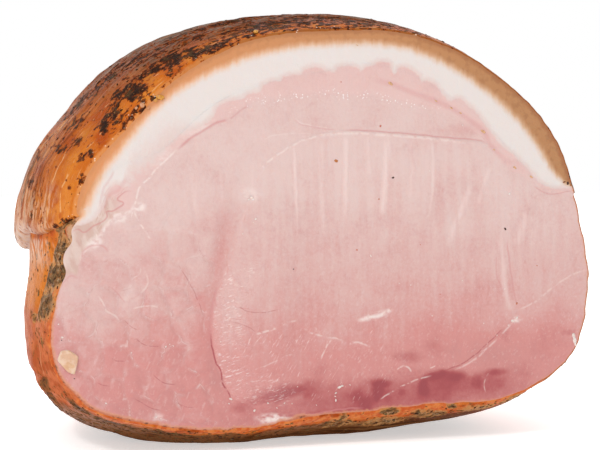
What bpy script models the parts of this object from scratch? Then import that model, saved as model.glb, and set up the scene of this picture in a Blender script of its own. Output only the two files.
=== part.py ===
"""A boneless cooked ham, cut in half and standing on its crust with the cut face towards -Y.

Two solids make it: the lean, which also carries the browned crust, and the cap of fat with
its rind, which wraps the top and the closed end. Metres, +Z up, the origin under the middle.
"""
from math import asin, atan2, cos, degrees, hypot, pi, radians, sin

import bmesh
import bpy
from mathutils import Matrix, Vector

# Driving dimensions, in metres. The middle is the inner seam of the meat, which the tables below
# are measured from. Their angles are in degrees round the ham's length, from +X over the top.
LENGTH = 0.150
MIDDLE_HEIGHT = 0.0790
# How square the ham is along its length, over the top and along the sagging underside.
DOME_POWER = 2.4
UNDERSIDE_POWER = 4.5
# The cut face: the distance from the middle to the edge.
CUT_RADIUS = {
    0: 0.0955, 20: 0.0905, 40: 0.0820, 60: 0.0755, 90: 0.0685, 120: 0.0720, 140: 0.0765,
    155: 0.0810, 168: 0.0890, 180: 0.0920, 190: 0.0970, 200: 0.1065, 213: 0.1075, 228: 0.0925,
    245: 0.0785, 262: 0.0690, 280: 0.0680, 300: 0.0755, 318: 0.0940, 332: 0.1045, 346: 0.1020,
}
# How far the ham swells out behind the cut, least in the crease under the rind's left edge.
SWELLING = {
    0: 0.0030, 60: 0.0060, 90: 0.0090, 130: 0.0120, 150: 0.0140, 166: 0.0170, 178: 0.0140,
    188: 0.0070, 198: 0.0045, 210: 0.0070, 225: 0.0110, 262: 0.0125, 285: 0.0140, 305: 0.0130,
    330: 0.0050,
}
SWELLING_REACH = 0.045
SWELLING_BLUNTNESS = 0.8
# The far end rounds off to a plain oval, leans a little to one side and sinks as soft meat does.
END_HALF_WIDTH = 0.106
END_HALF_HEIGHT = 0.080
END_SHIFT = Vector((-0.006, 0.0, -0.006))
LUMP_HEIGHT = 0.0012
LUMPS_AROUND = 3.0
LUMP_WAVE = 55.0
LUMP_TWIST = 40.0
# The cap's thickness under the skin. Below zero the cap's inner face lies outside the ham.
CAP_THICKNESS = {
    0: -0.0050, 5: -0.0030, 10: 0.0120, 16: 0.0160, 26: 0.0182, 38: 0.0168, 50: 0.0165,
    62: 0.0145, 80: 0.0125, 92: 0.0145, 115: 0.0165, 130: 0.0155, 160: 0.0150, 170: 0.0100,
    181: 0.0030, 188: 0.0000, 198: -0.0040, 230: -0.0090, 270: -0.0140, 320: -0.0120,
    350: -0.0070,
}
CAP_END_THICKNESS = 0.0120
CAP_END_POWER = 6.0
# The two solids touch in life; meshes keep this gap.
SEAM_GAP = 0.0003
CUTTER_REACH = 0.010

SEGMENTS_AROUND = 136
RINGS_ALONG = 14

LEAN_COLOUR = (0.73, 0.44, 0.40, 1.0)
RIND_COLOUR = (0.55, 0.22, 0.06, 1.0)


def smooth_ring(table, at):
    """A smooth value at any angle in degrees, through the values a table gives round the ham."""
    angles = sorted(table)
    count = len(angles)
    at %= 360.0
    after = next((k for k, angle in enumerate(angles) if angle > at), count)

    def knot(k):
        return angles[k % count] + 360.0 * (k // count), table[angles[k % count]]

    before_that, start, end, after_that = [knot(after + step) for step in (-2, -1, 0, 1)]
    span = end[0] - start[0]
    start_slope = (end[1] - before_that[1]) / (end[0] - before_that[0])
    end_slope = (after_that[1] - start[1]) / (after_that[0] - start[0])
    t = (at - start[0]) / span
    return (
        (2 * t**3 - 3 * t**2 + 1) * start[1]
        + (t**3 - 2 * t**2 + t) * span * start_slope
        + (3 * t**2 - 2 * t**3) * end[1]
        + (t**3 - t**2) * span * end_slope
    )


def shell_point(around, along, grow):
    """A point under the skin by the cap's thickness, or on the skin itself where grow is None.

    around is the angle in radians and along the angle from the cut, 0, to the far tip, pi / 2.
    grow makes the inner face larger by that much all over.
    """
    angle = degrees(around)
    depth = LENGTH * sin(along)
    underside = max(0.0, -sin(around)) ** 2
    power = DOME_POWER + (UNDERSIDE_POWER - DOME_POWER) * underside
    dome = max(0.0, 1.0 - sin(along) ** power) ** (1.0 / power)
    rise = sin(min(1.0, depth / SWELLING_REACH) * pi / 2) ** SWELLING_BLUNTNESS
    lumps = sin(LUMPS_AROUND * around + LUMP_TWIST * depth) * sin(LUMP_WAVE * depth) * sin(along)
    skin = smooth_ring(CUT_RADIUS, angle) + smooth_ring(SWELLING, angle) * rise
    end_oval = 1.0 / hypot(cos(around) / END_HALF_WIDTH, sin(around) / END_HALF_HEIGHT)
    to_end = sin(along) ** 3
    skin += (end_oval - skin) * to_end
    radius = (skin + LUMP_HEIGHT * lumps) * dome
    if grow is not None:
        at_end = sin(along) ** CAP_END_POWER
        thickness = smooth_ring(CAP_THICKNESS, angle) * (1.0 - at_end)
        thickness += CAP_END_THICKNESS * at_end - grow
        radius -= thickness * cos(along)
        depth -= thickness * sin(along)
    point = Vector((radius * cos(around), depth, radius * sin(around)))
    return point + END_SHIFT * to_end


def ham_shell(name, colour, grow=None, front_reach=0.0):
    """A closed half shell: a half sphere moved onto the ham's form, with a flat cut face."""
    shell = bmesh.new()
    bmesh.ops.create_uvsphere(
        shell,
        u_segments=SEGMENTS_AROUND,
        v_segments=2 * RINGS_ALONG,
        radius=1.0,
        matrix=Matrix.Rotation(radians(-90.0), 4, "X"),
    )
    front_half = [vert for vert in shell.verts if vert.co.y < -0.001]
    bmesh.ops.delete(shell, geom=front_half, context="VERTS")
    for vert in shell.verts:
        around = atan2(vert.co.z, vert.co.x)
        along = asin(max(0.0, min(1.0, vert.co.y)))
        vert.co = shell_point(around, along, grow)
        if grow is None:
            vert.co.z = max(vert.co.z, -MIDDLE_HEIGHT)
    rim = [edge for edge in shell.edges if edge.is_boundary]
    for vert in {vert for edge in rim for vert in edge.verts}:
        vert.co.y = 0.0
    if front_reach > 0.0:
        pulled = bmesh.ops.extrude_edge_only(shell, edges=rim)["geom"]
        for vert in [item for item in pulled if isinstance(item, bmesh.types.BMVert)]:
            vert.co.y = -front_reach
        rim = [edge for edge in shell.edges if edge.is_boundary]
    bmesh.ops.edgeloop_fill(shell, edges=rim)
    bmesh.ops.recalc_face_normals(shell, faces=shell.faces)
    mesh = bpy.data.meshes.new(name)
    shell.to_mesh(mesh)
    shell.free()
    mesh.shade_smooth()
    mesh.set_sharp_from_angle(angle=radians(40.0))
    mesh.materials.append(plain_material(name, colour))
    return bpy.data.objects.new(name, mesh)


def plain_material(name, colour):
    material = bpy.data.materials.new(name)
    material.use_nodes = True
    shader = material.node_tree.nodes["Principled BSDF"]
    shader.inputs["Base Color"].default_value = colour
    shader.inputs["Roughness"].default_value = 0.4
    shader.inputs["Metallic"].default_value = 0.0
    return material


def new_collection(name):
    collection = bpy.data.collections.new(name)
    bpy.context.scene.collection.children.link(collection)
    return collection


def cut_by(part, cutter, operation):
    boolean = part.modifiers.new(operation.lower(), "BOOLEAN")
    boolean.operation = operation
    boolean.solver = "EXACT"
    boolean.object = cutter


def stand_on_origin(objects, measured):
    """Move every object so that the origin is under the middle of the measured one's box."""
    corners = [vert.co for vert in measured.data.vertices]
    low = Vector([min(corner[axis] for corner in corners) for axis in range(3)])
    high = Vector([max(corner[axis] for corner in corners) for axis in range(3)])
    middle = (low + high) / 2
    for item in objects:
        item.location = (-middle.x, -middle.y, -low.z)


for old in list(bpy.data.objects):
    bpy.data.objects.remove(old, do_unlink=True)

ham = new_collection("ham")
cutters = new_collection("ham cutters")

lean = ham_shell("lean", LEAN_COLOUR)
fat_cap = ham_shell("fat_cap", RIND_COLOUR)
inner_form = ham_shell("inner_form", LEAN_COLOUR, grow=0.0, front_reach=CUTTER_REACH)
inner_form_grown = ham_shell(
    "inner_form_grown", LEAN_COLOUR, grow=SEAM_GAP, front_reach=CUTTER_REACH
)

for part in (lean, fat_cap):
    ham.objects.link(part)
for cutter in (inner_form, inner_form_grown):
    cutters.objects.link(cutter)
    cutter.hide_render = True
    cutter.display_type = "WIRE"

stand_on_origin((lean, fat_cap, inner_form, inner_form_grown), measured=lean)
cut_by(lean, inner_form, "INTERSECT")
cut_by(fat_cap, inner_form_grown, "DIFFERENCE")
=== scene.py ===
"""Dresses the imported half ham: its cut face, crust, fat cap, rind, spices, table and light."""
import itertools
import math

import bmesh
import bpy
import numpy as np
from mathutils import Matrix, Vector
from mathutils.bvhtree import BVHTree
from mathutils.kdtree import KDTree


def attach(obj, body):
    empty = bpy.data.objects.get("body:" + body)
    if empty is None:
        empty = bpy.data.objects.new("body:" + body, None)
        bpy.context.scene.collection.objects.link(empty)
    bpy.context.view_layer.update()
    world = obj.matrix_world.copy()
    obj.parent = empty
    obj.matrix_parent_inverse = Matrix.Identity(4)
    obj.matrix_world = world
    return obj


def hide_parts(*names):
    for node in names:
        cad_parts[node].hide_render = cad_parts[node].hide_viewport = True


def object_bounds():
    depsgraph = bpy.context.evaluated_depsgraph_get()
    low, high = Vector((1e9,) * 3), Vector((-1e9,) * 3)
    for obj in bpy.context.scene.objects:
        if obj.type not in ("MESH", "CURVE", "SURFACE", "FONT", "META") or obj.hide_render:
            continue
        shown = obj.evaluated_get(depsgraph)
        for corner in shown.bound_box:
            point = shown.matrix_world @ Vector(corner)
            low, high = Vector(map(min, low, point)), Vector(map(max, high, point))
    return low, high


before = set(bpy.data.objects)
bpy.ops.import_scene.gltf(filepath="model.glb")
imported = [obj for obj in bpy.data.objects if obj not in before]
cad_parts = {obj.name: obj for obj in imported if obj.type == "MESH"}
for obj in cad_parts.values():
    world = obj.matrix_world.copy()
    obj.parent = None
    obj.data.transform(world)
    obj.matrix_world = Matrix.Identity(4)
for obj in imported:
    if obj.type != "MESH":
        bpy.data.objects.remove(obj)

solid_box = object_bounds()
MM = 0.001

# ---- The lean -------------------------------------------------------------------------------
# The boned leg muscles of a pig, brined, pressed together and cooked, so that their own jelly
# holds them as one piece. A long knife has cut it flat in front; behind the cut it bellies out
# under a browned and spiced crust, and it stands on its own pressed underside.

LENGTH = 150 * MM
MIDDLE_HEIGHT = 79 * MM
# How square the ham is along its length, over the top and along the sagging underside.
DOME_POWER = 2.4
UNDERSIDE_POWER = 4.5
SWELLING_REACH = 45 * MM
LUMP_HEIGHT = 1.2 * MM
# The far end rounds off to a plain oval, which leans this far to the left and sinks as far.
END_HALF_WIDTH = 106 * MM
END_HALF_HEIGHT = 80 * MM
END_SHIFT = 6 * MM
CAP_END_THICKNESS = 12 * MM
# Round the ham's length, in degrees from +X over the top: how far the cut's edge is from the
# middle of the meat, how much further out the ham bellies behind the cut, and how thick the
# cap is. Where the thickness is below zero, the meat is bare.
CUT_RADIUS = {
    0: 95.5, 20: 90.5, 40: 82.0, 60: 75.5, 90: 68.5, 120: 72.0, 140: 76.5, 155: 81.0, 168: 89.0,
    180: 92.0, 190: 97.0, 200: 106.5, 213: 107.5, 228: 92.5, 245: 78.5, 262: 69.0, 280: 68.0,
    300: 75.5, 318: 94.0, 332: 104.5, 346: 102.0,
}
SWELLING = {
    0: 3.0, 60: 6.5, 90: 9.0, 105: 8.8, 120: 10.8, 135: 14.0, 150: 16.5, 162: 16.2, 172: 14.4,
    180: 12.6, 188: 7.5, 198: 4.2, 210: 6.0, 225: 11.0, 262: 12.5, 285: 14.0, 305: 13.0, 330: 5.0,
}
CAP_THICKNESS = {
    0: -5.0, 5: -3.0, 10: 12.0, 16: 16.0, 26: 18.2, 38: 16.8, 50: 16.5, 62: 14.5, 80: 12.5,
    92: 14.5, 115: 16.5, 130: 15.5, 160: 15.0, 170: 10.0, 181: 3.0, 188: 0.0, 198: -4.0,
    230: -9.0, 270: -14.0, 320: -12.0, 350: -7.0,
}


def round_the_ham(table, angles, unit=MM):
    """Smooth values at these angles, through a table's values, which are in this unit."""
    knots = np.array(sorted(table), float)
    values = np.array([table[knot] for knot in sorted(table)]) * unit
    knots = np.concatenate([knots[-2:] - 360, knots, knots[:3] + 360])
    values = np.concatenate([values[-2:], values, values[:3]])
    slopes = (values[2:] - values[:-2]) / (knots[2:] - knots[:-2])
    at = np.mod(angles, 360.0)
    k = np.searchsorted(knots, at, side="right") - 1
    span = knots[k + 1] - knots[k]
    t = (at - knots[k]) / span
    return (
        (2 * t**3 - 3 * t**2 + 1) * values[k]
        + (t**3 - 2 * t**2 + t) * span * slopes[k - 1]
        + (3 * t**2 - 2 * t**3) * values[k + 1]
        + (t**3 - t**2) * span * slopes[k]
    )


def rising(value, low, high):
    """0 below low, 1 above high, and a smooth rise between."""
    t = np.clip((value - low) / (high - low), 0, 1)
    return t * t * (3 - 2 * t)


def soft_noise(points, size, seed):
    """Smooth noise between about -1 and 1, with swells of this size in metres."""
    cell = points / size + 37.7 * seed
    corner = np.floor(cell).astype(np.int64)
    part = cell - corner
    part = part**3 * (part * (part * 6 - 15) + 10)
    total = np.zeros(points.shape[:-1])
    for step in itertools.product((0, 1), repeat=3):
        key = (corner + np.array(step)) @ np.array([73856093, 19349663, 83492791])
        key = (key ^ (key >> 13)) * 1274126177 % 4294967296
        value = (key ^ (key >> 16)) % 65536 / 32768.0 - 1
        total += value * np.prod(np.where(step, part, 1 - part), axis=-1)
    return total


def ham_skin(angles, along):
    """Radius and depth of the bare skin. along runs from 0 at the cut to pi/2 at the far tip."""
    around = np.radians(angles)
    depth = LENGTH * np.sin(along)
    underside = np.maximum(0.0, -np.sin(around)) ** 2
    power = DOME_POWER + (UNDERSIDE_POWER - DOME_POWER) * underside
    dome = np.maximum(0.0, 1 - np.sin(along) ** power) ** (1 / power)
    rise = np.sin(np.minimum(1.0, depth / SWELLING_REACH) * math.pi / 2) ** 0.8
    lumps = np.sin(3 * around + 40 * depth) * np.sin(55 * depth) * np.sin(along)
    skin = round_the_ham(CUT_RADIUS, angles) + round_the_ham(SWELLING, angles) * rise
    end_oval = 1 / np.hypot(np.cos(around) / END_HALF_WIDTH, np.sin(around) / END_HALF_HEIGHT)
    skin = skin + (end_oval - skin) * np.sin(along) ** 3
    return (skin + LUMP_HEIGHT * lumps) * dome, depth


def cap_thickness(angles, along):
    """How thick the fat cap is. Its left edge climbs towards the cut, and both edges wave."""
    at_end = np.sin(along) ** 6
    depth = LENGTH * np.sin(along)
    turn = (4.5 + 6.0 * np.exp(-depth / (16 * MM))) * (1 - rising(depth, 60 * MM, 110 * MM))
    turn = turn * rising(angles, 150, 172) * (1 - rising(angles, 205, 235))
    waves = 1.5 * np.sin(depth / (12 * MM)) + 1.0 * np.sin(depth / (5.1 * MM) + 1)
    sideways = 1 - rising(np.cos(2 * np.radians(angles)), 1, 0)
    turn = turn + waves * rising(depth, 12 * MM, 40 * MM) * sideways
    thick = round_the_ham(CAP_THICKNESS, angles + turn)
    return thick * (1 - at_end) + CAP_END_THICKNESS * at_end


def ham_points(angles, along, sink):
    """Points of the ham, sunk this far under its skin."""
    around = np.radians(angles)
    radius, depth = ham_skin(angles, along)
    radius = radius - sink * np.cos(along)
    depth = depth - sink * np.sin(along)
    to_end = np.sin(along) ** 3
    x = radius * np.cos(around) - END_SHIFT * to_end
    z = radius * np.sin(around) - END_SHIFT * to_end
    return np.stack([x, depth, z], -1)


# Where the rind's two edges meet, low on the far end.
CLOSING_ANGLE = 279.0


def rind_line(along):
    """Where the rind's edge lies at this depth: the right angle and the left angle."""
    fine = np.arange(CLOSING_ANGLE - 360, CLOSING_ANGLE, 0.05)
    bare = cap_thickness(fine, along) < 0
    right = fine[bare & (fine < 90)]
    left = fine[bare & (fine > 90)]
    return max(right, default=CLOSING_ANGLE - 360), min(left, default=CLOSING_ANGLE)


# How far the crust's own edge bulges out at the cut, where the left end was tied and pleated.
SCALLOPS = {
    0: 0.0, 176: 0.0, 178: 0.2, 180.4: 1.4, 183: 0.1, 185.8: 2.3, 189: 0.1, 192.2: 0.9, 196: 0.1,
    201: 0.3, 205.5: 0.9, 212: 0.3, 217: 0.5, 225: 0.2, 240: 0.0, 300: 0.0,
}
# Small knobs of herbs and meat behind it, each as the angle, the depth and the height in
# millimetres, which is below zero for a dent, then the reach in degrees and in millimetres.
KNOBS = [
    (185.0, 6, 1.1, 1.4, 4), (189.7, 7, 1.6, 1.5, 5.5), (194.8, 9, 1.0, 1.5, 4),
    (201.5, 8, 0.8, 2, 5), (203, 40, -1.5, 6, 26), (208.5, 32, -1.4, 0.7, 14),
    (210.4, 36, 0.7, 1.2, 12), (305, 14, 1.6, 20, 14), (232, 16, -1.0, 14, 14),
]
# How far the rind's edge stands out over the meat beside it, in millimetres.
RIND_LIP = {0: 0.9, 120: 0.9, 165: 1.4, 178: 3.0, 200: 3.0, 230: 1.5, 300: 0.9}
CREASE_DEPTH = 1.4 * MM
CUT_EDGE_ROUNDING = 0.5 * MM
CAP_COLUMNS = 440
CRUST_COLUMNS = 340
FACE_RINGS = 160
FAT_RINGS = 26


def cut_edge_sink(along):
    """How far the skin rounds in at the sharp edge that the knife left."""
    depth = LENGTH * np.sin(along)
    short = np.clip(1 - depth / CUT_EDGE_ROUNDING, 0, 1)
    return CUT_EDGE_ROUNDING * (1 - np.sqrt(1 - short**2))


def crease(thickness, angles):
    """How deep the skin is drawn in beside the rind's edge: less at the ham's right."""
    side = 0.25 + 0.75 * rising(-np.cos(np.radians(angles)), -0.7, 0.2)
    return side * CREASE_DEPTH * np.exp(-np.abs(thickness) / (1.6 * MM))


def crust_relief(angles, along):
    """The browned crust's small swells, pits and left fold, measured outwards."""
    points = ham_points(angles, along, 0.0)
    depth = LENGTH * np.sin(along)
    swells = 0.5 * soft_noise(points, 14 * MM, 1) + 0.35 * soft_noise(points, 5 * MM, 2)
    pits = -np.maximum(0, soft_noise(points, 2.2 * MM, 3) - 0.25)
    fold_depth = 9 * MM + (angles - 180) * 0.75 * MM
    fold = np.exp(-(((depth - fold_depth) / (2.2 * MM)) ** 2))
    fold = fold * rising(angles, 178, 184) * (1 - rising(angles, 195, 203))
    behind = rising(depth, 0, 3 * MM)
    ledge = rising(angles, 198, 207) * (1 - rising(angles, 207.5, 208.3))
    ledge = ledge * rising(depth, 8 * MM, 24 * MM) * (1 - rising(depth, 60 * MM, 90 * MM))
    out = (swells + 0.4 * pits) * 0.7 * behind - 1.8 * fold * behind
    out = out + round_the_ham(SCALLOPS, angles, 1.0) * (1 - rising(depth, 1 * MM, 8 * MM))
    out = out + 0.4 * soft_noise(points, 3.2 * MM, 10) * (1 - rising(depth, 2 * MM, 7 * MM))
    for at, deep, high, reach, reach_back in KNOBS:
        spread = ((angles - at) / reach) ** 2 + ((depth / MM - deep) / reach_back) ** 2
        out = out + high * np.exp(-spread) * behind
    return (out + 0.9 * ledge) * MM


def rind_relief(angles, along, thickness):
    """The rind's raised edge, and its fine wrinkles that run round the ham."""
    points = ham_points(angles, along, 0.0)
    depth = LENGTH * np.sin(along)
    near = rising(depth, 2 * MM, 14 * MM)
    near = near + rising(angles, 165, 175) * (rising(depth, 12 * MM, 40 * MM) - near)
    lip = round_the_ham(RIND_LIP, angles) * (0.25 + 0.75 * near)
    rounded = np.sqrt(np.clip(1 - (1 - np.clip(thickness / (0.8 * MM), 0, 1)) ** 2, 0, 1))
    lift = lip * rounded * (1 - rising(thickness, 1 * MM, 11 * MM))
    drop = crease(thickness, angles) * (1 - rounded)
    stretch = points * np.array([0.12, 1.0, 0.12])
    stretch[..., 1] += 1.5 * MM * soft_noise(points, 22 * MM, 7)
    wrinkles = 0.30 * soft_noise(stretch, 3.1 * MM, 4) + 0.22 * soft_noise(stretch, 1.6 * MM, 5)
    wrinkles = wrinkles * (0.35 + rising(depth, 8 * MM, 22 * MM))
    swells = 0.28 * soft_noise(points, 18 * MM, 6) + 0.14 * soft_noise(points, 3.2 * MM, 9)
    behind = rising(depth, 0, 4 * MM)
    ragged = 0.2 * soft_noise(points, 2.4 * MM, 10) * (1 - behind) * rounded
    return lift - drop + ((wrinkles + swells) * behind + ragged) * MM


def ring_strips(first, second):
    """Quads between two rows of vertex numbers."""
    return np.stack([first[:-1], first[1:], second[1:], second[:-1]], -1)


def fine_faces(numbers):
    """Quads between all of a grid's rows."""
    strips = [ring_strips(numbers[k], numbers[k + 1]) for k in range(len(numbers) - 1)]
    return np.concatenate(strips).tolist()


def hidden_faces(numbers, step=4):
    """Large faces where two pieces meet inside, with every point kept along the borders."""
    last_row, last_column = numbers.shape[0] - 1, numbers.shape[1] - 1
    row_marks = [*range(0, last_row, step), last_row]
    column_marks = [*range(0, last_column, step), last_column]
    faces = []
    for low, high in zip(row_marks, row_marks[1:]):
        for left, right in zip(column_marks, column_marks[1:]):
            between = slice(left, right + 1)
            bottom = numbers[low, between] if low == 0 else numbers[low, [left, right]]
            top = numbers[high, between] if high == last_row else numbers[high, [left, right]]
            right_side = numbers[low + 1:high, right] if right == last_column else []
            left_side = numbers[low + 1:high, left][::-1] if left == 0 else []
            faces.append([*bottom, *right_side, *top[::-1], *left_side])
    return faces


# Rings of points from the cut to the far tip, close together at the cut.
first_depths = np.array([0, 0.12, 0.3, 0.6, 1.1, 1.7, 2.4, 3.1]) * MM
even = np.linspace(0, 1, 156)
later = 0.025 + (math.pi / 2 - 0.025) * (0.36 * even + 0.64 * even**2)
rows = np.concatenate([np.arcsin(first_depths / LENGTH), later])
lines = np.array([rind_line(along) for along in rows])
even = np.linspace(0, 1, CAP_COLUMNS + 1)
cap_share = 0.65 * even + 0.35 * (0.5 - 0.5 * np.cos(math.pi * even))
crust_share = np.linspace(0, 1, CRUST_COLUMNS + 1)
cap_angles = lines[:, :1] + (lines[:, 1:] - lines[:, :1]) * cap_share
crust_angles = lines[:, 1:] + (lines[:, :1] + 360 - lines[:, 1:]) * crust_share
cap_along = np.broadcast_to(rows[:, None], cap_angles.shape)
crust_along = np.broadcast_to(rows[:, None], crust_angles.shape)
thickness = np.maximum(0, cap_thickness(cap_angles, cap_along))
bare = np.maximum(0, -cap_thickness(crust_angles, crust_along))

# The lean and the cap keep apart by a hair's breadth, except at the edges that they share.
seam_gap = 0.15 * MM * rising(thickness, 0, 1 * MM) * rising(LENGTH * np.sin(cap_along), 0, 2 * MM)
drawn_in = thickness + crease(thickness, cap_angles)
inner_form = ham_points(cap_angles, cap_along, drawn_in + seam_gap)
fat_inside = ham_points(cap_angles, cap_along, drawn_in)
crust_out = crust_relief(crust_angles, crust_along) - crease(bare, crust_angles)
crust_out = crust_out - cut_edge_sink(crust_along)
crust_form = ham_points(crust_angles, crust_along, -crust_out)
rind_out = rind_relief(cap_angles, cap_along, thickness) - cut_edge_sink(cap_along)
rind_form = ham_points(cap_angles, cap_along, -rind_out)
for form in (inner_form, fat_inside, crust_form, rind_form):
    form[..., 2] = np.maximum(form[..., 2], -MIDDLE_HEIGHT)
# Past the open rows the rind closes over the far end, and no crust shows.
open_rows = lines[:, 1] - lines[:, 0] < 359.9
crust_form[:, 0] = inner_form[:, -1]
crust_form[:, -1] = inner_form[:, 0]
crust_form[~open_rows] = inner_form[~open_rows, :1]
rind_form[open_rows, 0] = fat_inside[open_rows, 0]
rind_form[open_rows, -1] = fat_inside[open_rows, -1]

form_low = min(crust_form[..., 0].min(), rind_form[..., 0].min())
form_high = max(crust_form[..., 0].max(), rind_form[..., 0].max())
middle_x = (solid_box[0][0] + solid_box[1][0]) / 2 - (form_low + form_high) / 2
MIDDLE = np.array([middle_x, solid_box[0][1], solid_box[0][2] + MIDDLE_HEIGHT])

# What the knife laid bare. Places on the cut are in millimetres from the middle of the meat,
# rightwards and up. The fat's inner edge, from the left, with the lean's small lobes in it:
FAT_EDGE = [
    (-95, 1), (-88.5, 1.2), (-85, 3), (-82.6, 5.8), (-81.1, 8.6), (-80.4, 11.5), (-79, 13.9),
    (-77, 14.6), (-75.1, 13.9), (-73.5, 14.4), (-72.3, 16.5), (-70.4, 18.6), (-67.8, 20.4),
    (-64.8, 22.4), (-61.8, 25.3), (-59.1, 28), (-57, 30.2), (-53.5, 32), (-49.5, 33.6),
    (-46, 35.4), (-43.4, 37.8), (-41.4, 41.6), (-37.8, 43.2), (-33.2, 44), (-30.5, 45.8),
    (-26.6, 46.6), (-25.6, 48.6), (-22.5, 50.2), (-19.5, 50.2), (-18.2, 51.6), (-14.6, 52.6),
    (-11.8, 52.6), (-9.8, 54.6), (-5.8, 55.3), (-1.6, 53.9), (0.2, 53.6), (2.2, 55.4),
    (6.2, 55.9), (9.6, 54.9), (10.4, 53.9), (12.4, 55.5), (15, 56.3), (18.4, 57.6),
    (21.2, 56.8), (22.2, 54.2), (23.4, 53.6), (25, 55.6), (29, 55), (32.4, 52.4), (33.4, 50.6),
    (35.2, 50.9), (38.8, 49.6), (41, 46.6), (42.4, 45), (44.4, 43.8), (46.2, 44.6),
    (48.6, 44.4), (50.8, 42.5), (53.9, 40), (56.7, 36.9), (59.5, 33.3), (63.5, 28.6),
    (67.4, 25.5), (72, 21.9), (76.5, 17.2), (79.9, 14), (85.1, 12.2), (91, 12.6), (97, 13),
]
# The thin seam between the big muscles and what surrounds them, under the fat.
RIM = [
    (-99, -19.5), (-95.6, -18.2), (-94.3, -16.3), (-92.7, -15.4), (-91, -16.3), (-90, -14),
    (-89.4, -9.6), (-88.1, -7.4), (-86.4, -5.5), (-84.8, -3.9), (-83.1, -2.3), (-82.1, -0.7),
    (-80.5, 1.3), (-78.8, 2.7), (-76.6, 4.3), (-73.9, 5), (-71.5, 6.2), (-70.5, 8.8),
    (-69.9, 11.7), (-68.5, 14.3), (-65.2, 17.6), (-62.5, 20.8), (-59.1, 23.4), (-55.4, 27.2),
    (-50.5, 31), (-46, 33.7), (-41.4, 36.1), (-37.8, 37.2), (-35.2, 38.7), (-33.2, 40.3),
    (-30.5, 42), (-25, 43.5), (-16, 44.7), (-4.6, 45.6), (2.5, 45.6), (15.8, 44.8),
    (28.7, 42.4), (37, 40.8), (46, 38.2), (53, 33), (58.5, 28), (64, 21.8), (70, 17.8),
    (76, 14.8), (82, 11.4), (88, 9.8), (99, 9.6),
]
# The biggest muscle, the topside, clockwise from the bottom of its left edge.
TOPSIDE = [
    (-37.1, -60.2), (-38.9, -56.4), (-40.8, -51.8), (-42.7, -47.6), (-43.6, -42.6),
    (-44.1, -38.1), (-43.9, -32.2), (-43.1, -26.7), (-41.2, -20), (-38.4, -13.3), (-36.3, -7),
    (-34.6, -1), (-32, 5), (-29.5, 11), (-27, 16.9), (-25, 20.9), (-22.2, 23.5), (-18.5, 25.7),
    (-14.8, 28), (-11.1, 29.7), (-5.5, 31.5), (0.1, 32.4), (5.8, 32.8), (15.3, 32.4),
    (32, 31.2), (41.8, 30.2), (54, 29.2), (59.6, 27.6), (64.1, 22.4), (76, 13), (88, 6),
    (93, -6), (91, -20), (79.5, -28.2), (71.5, -32), (68.9, -35.5), (65.5, -38), (61.6, -41.5),
    (57.7, -44.5), (54.3, -47.6), (49.9, -50.3), (46.6, -51.5), (41.6, -53.1), (37.7, -54.3),
    (32.2, -55.6), (26.8, -57.5), (21.3, -60.3), (18.1, -62.8), (8, -67), (-12, -67),
    (-27, -65), (-33, -62), (-37.1, -60.2),
]
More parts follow.
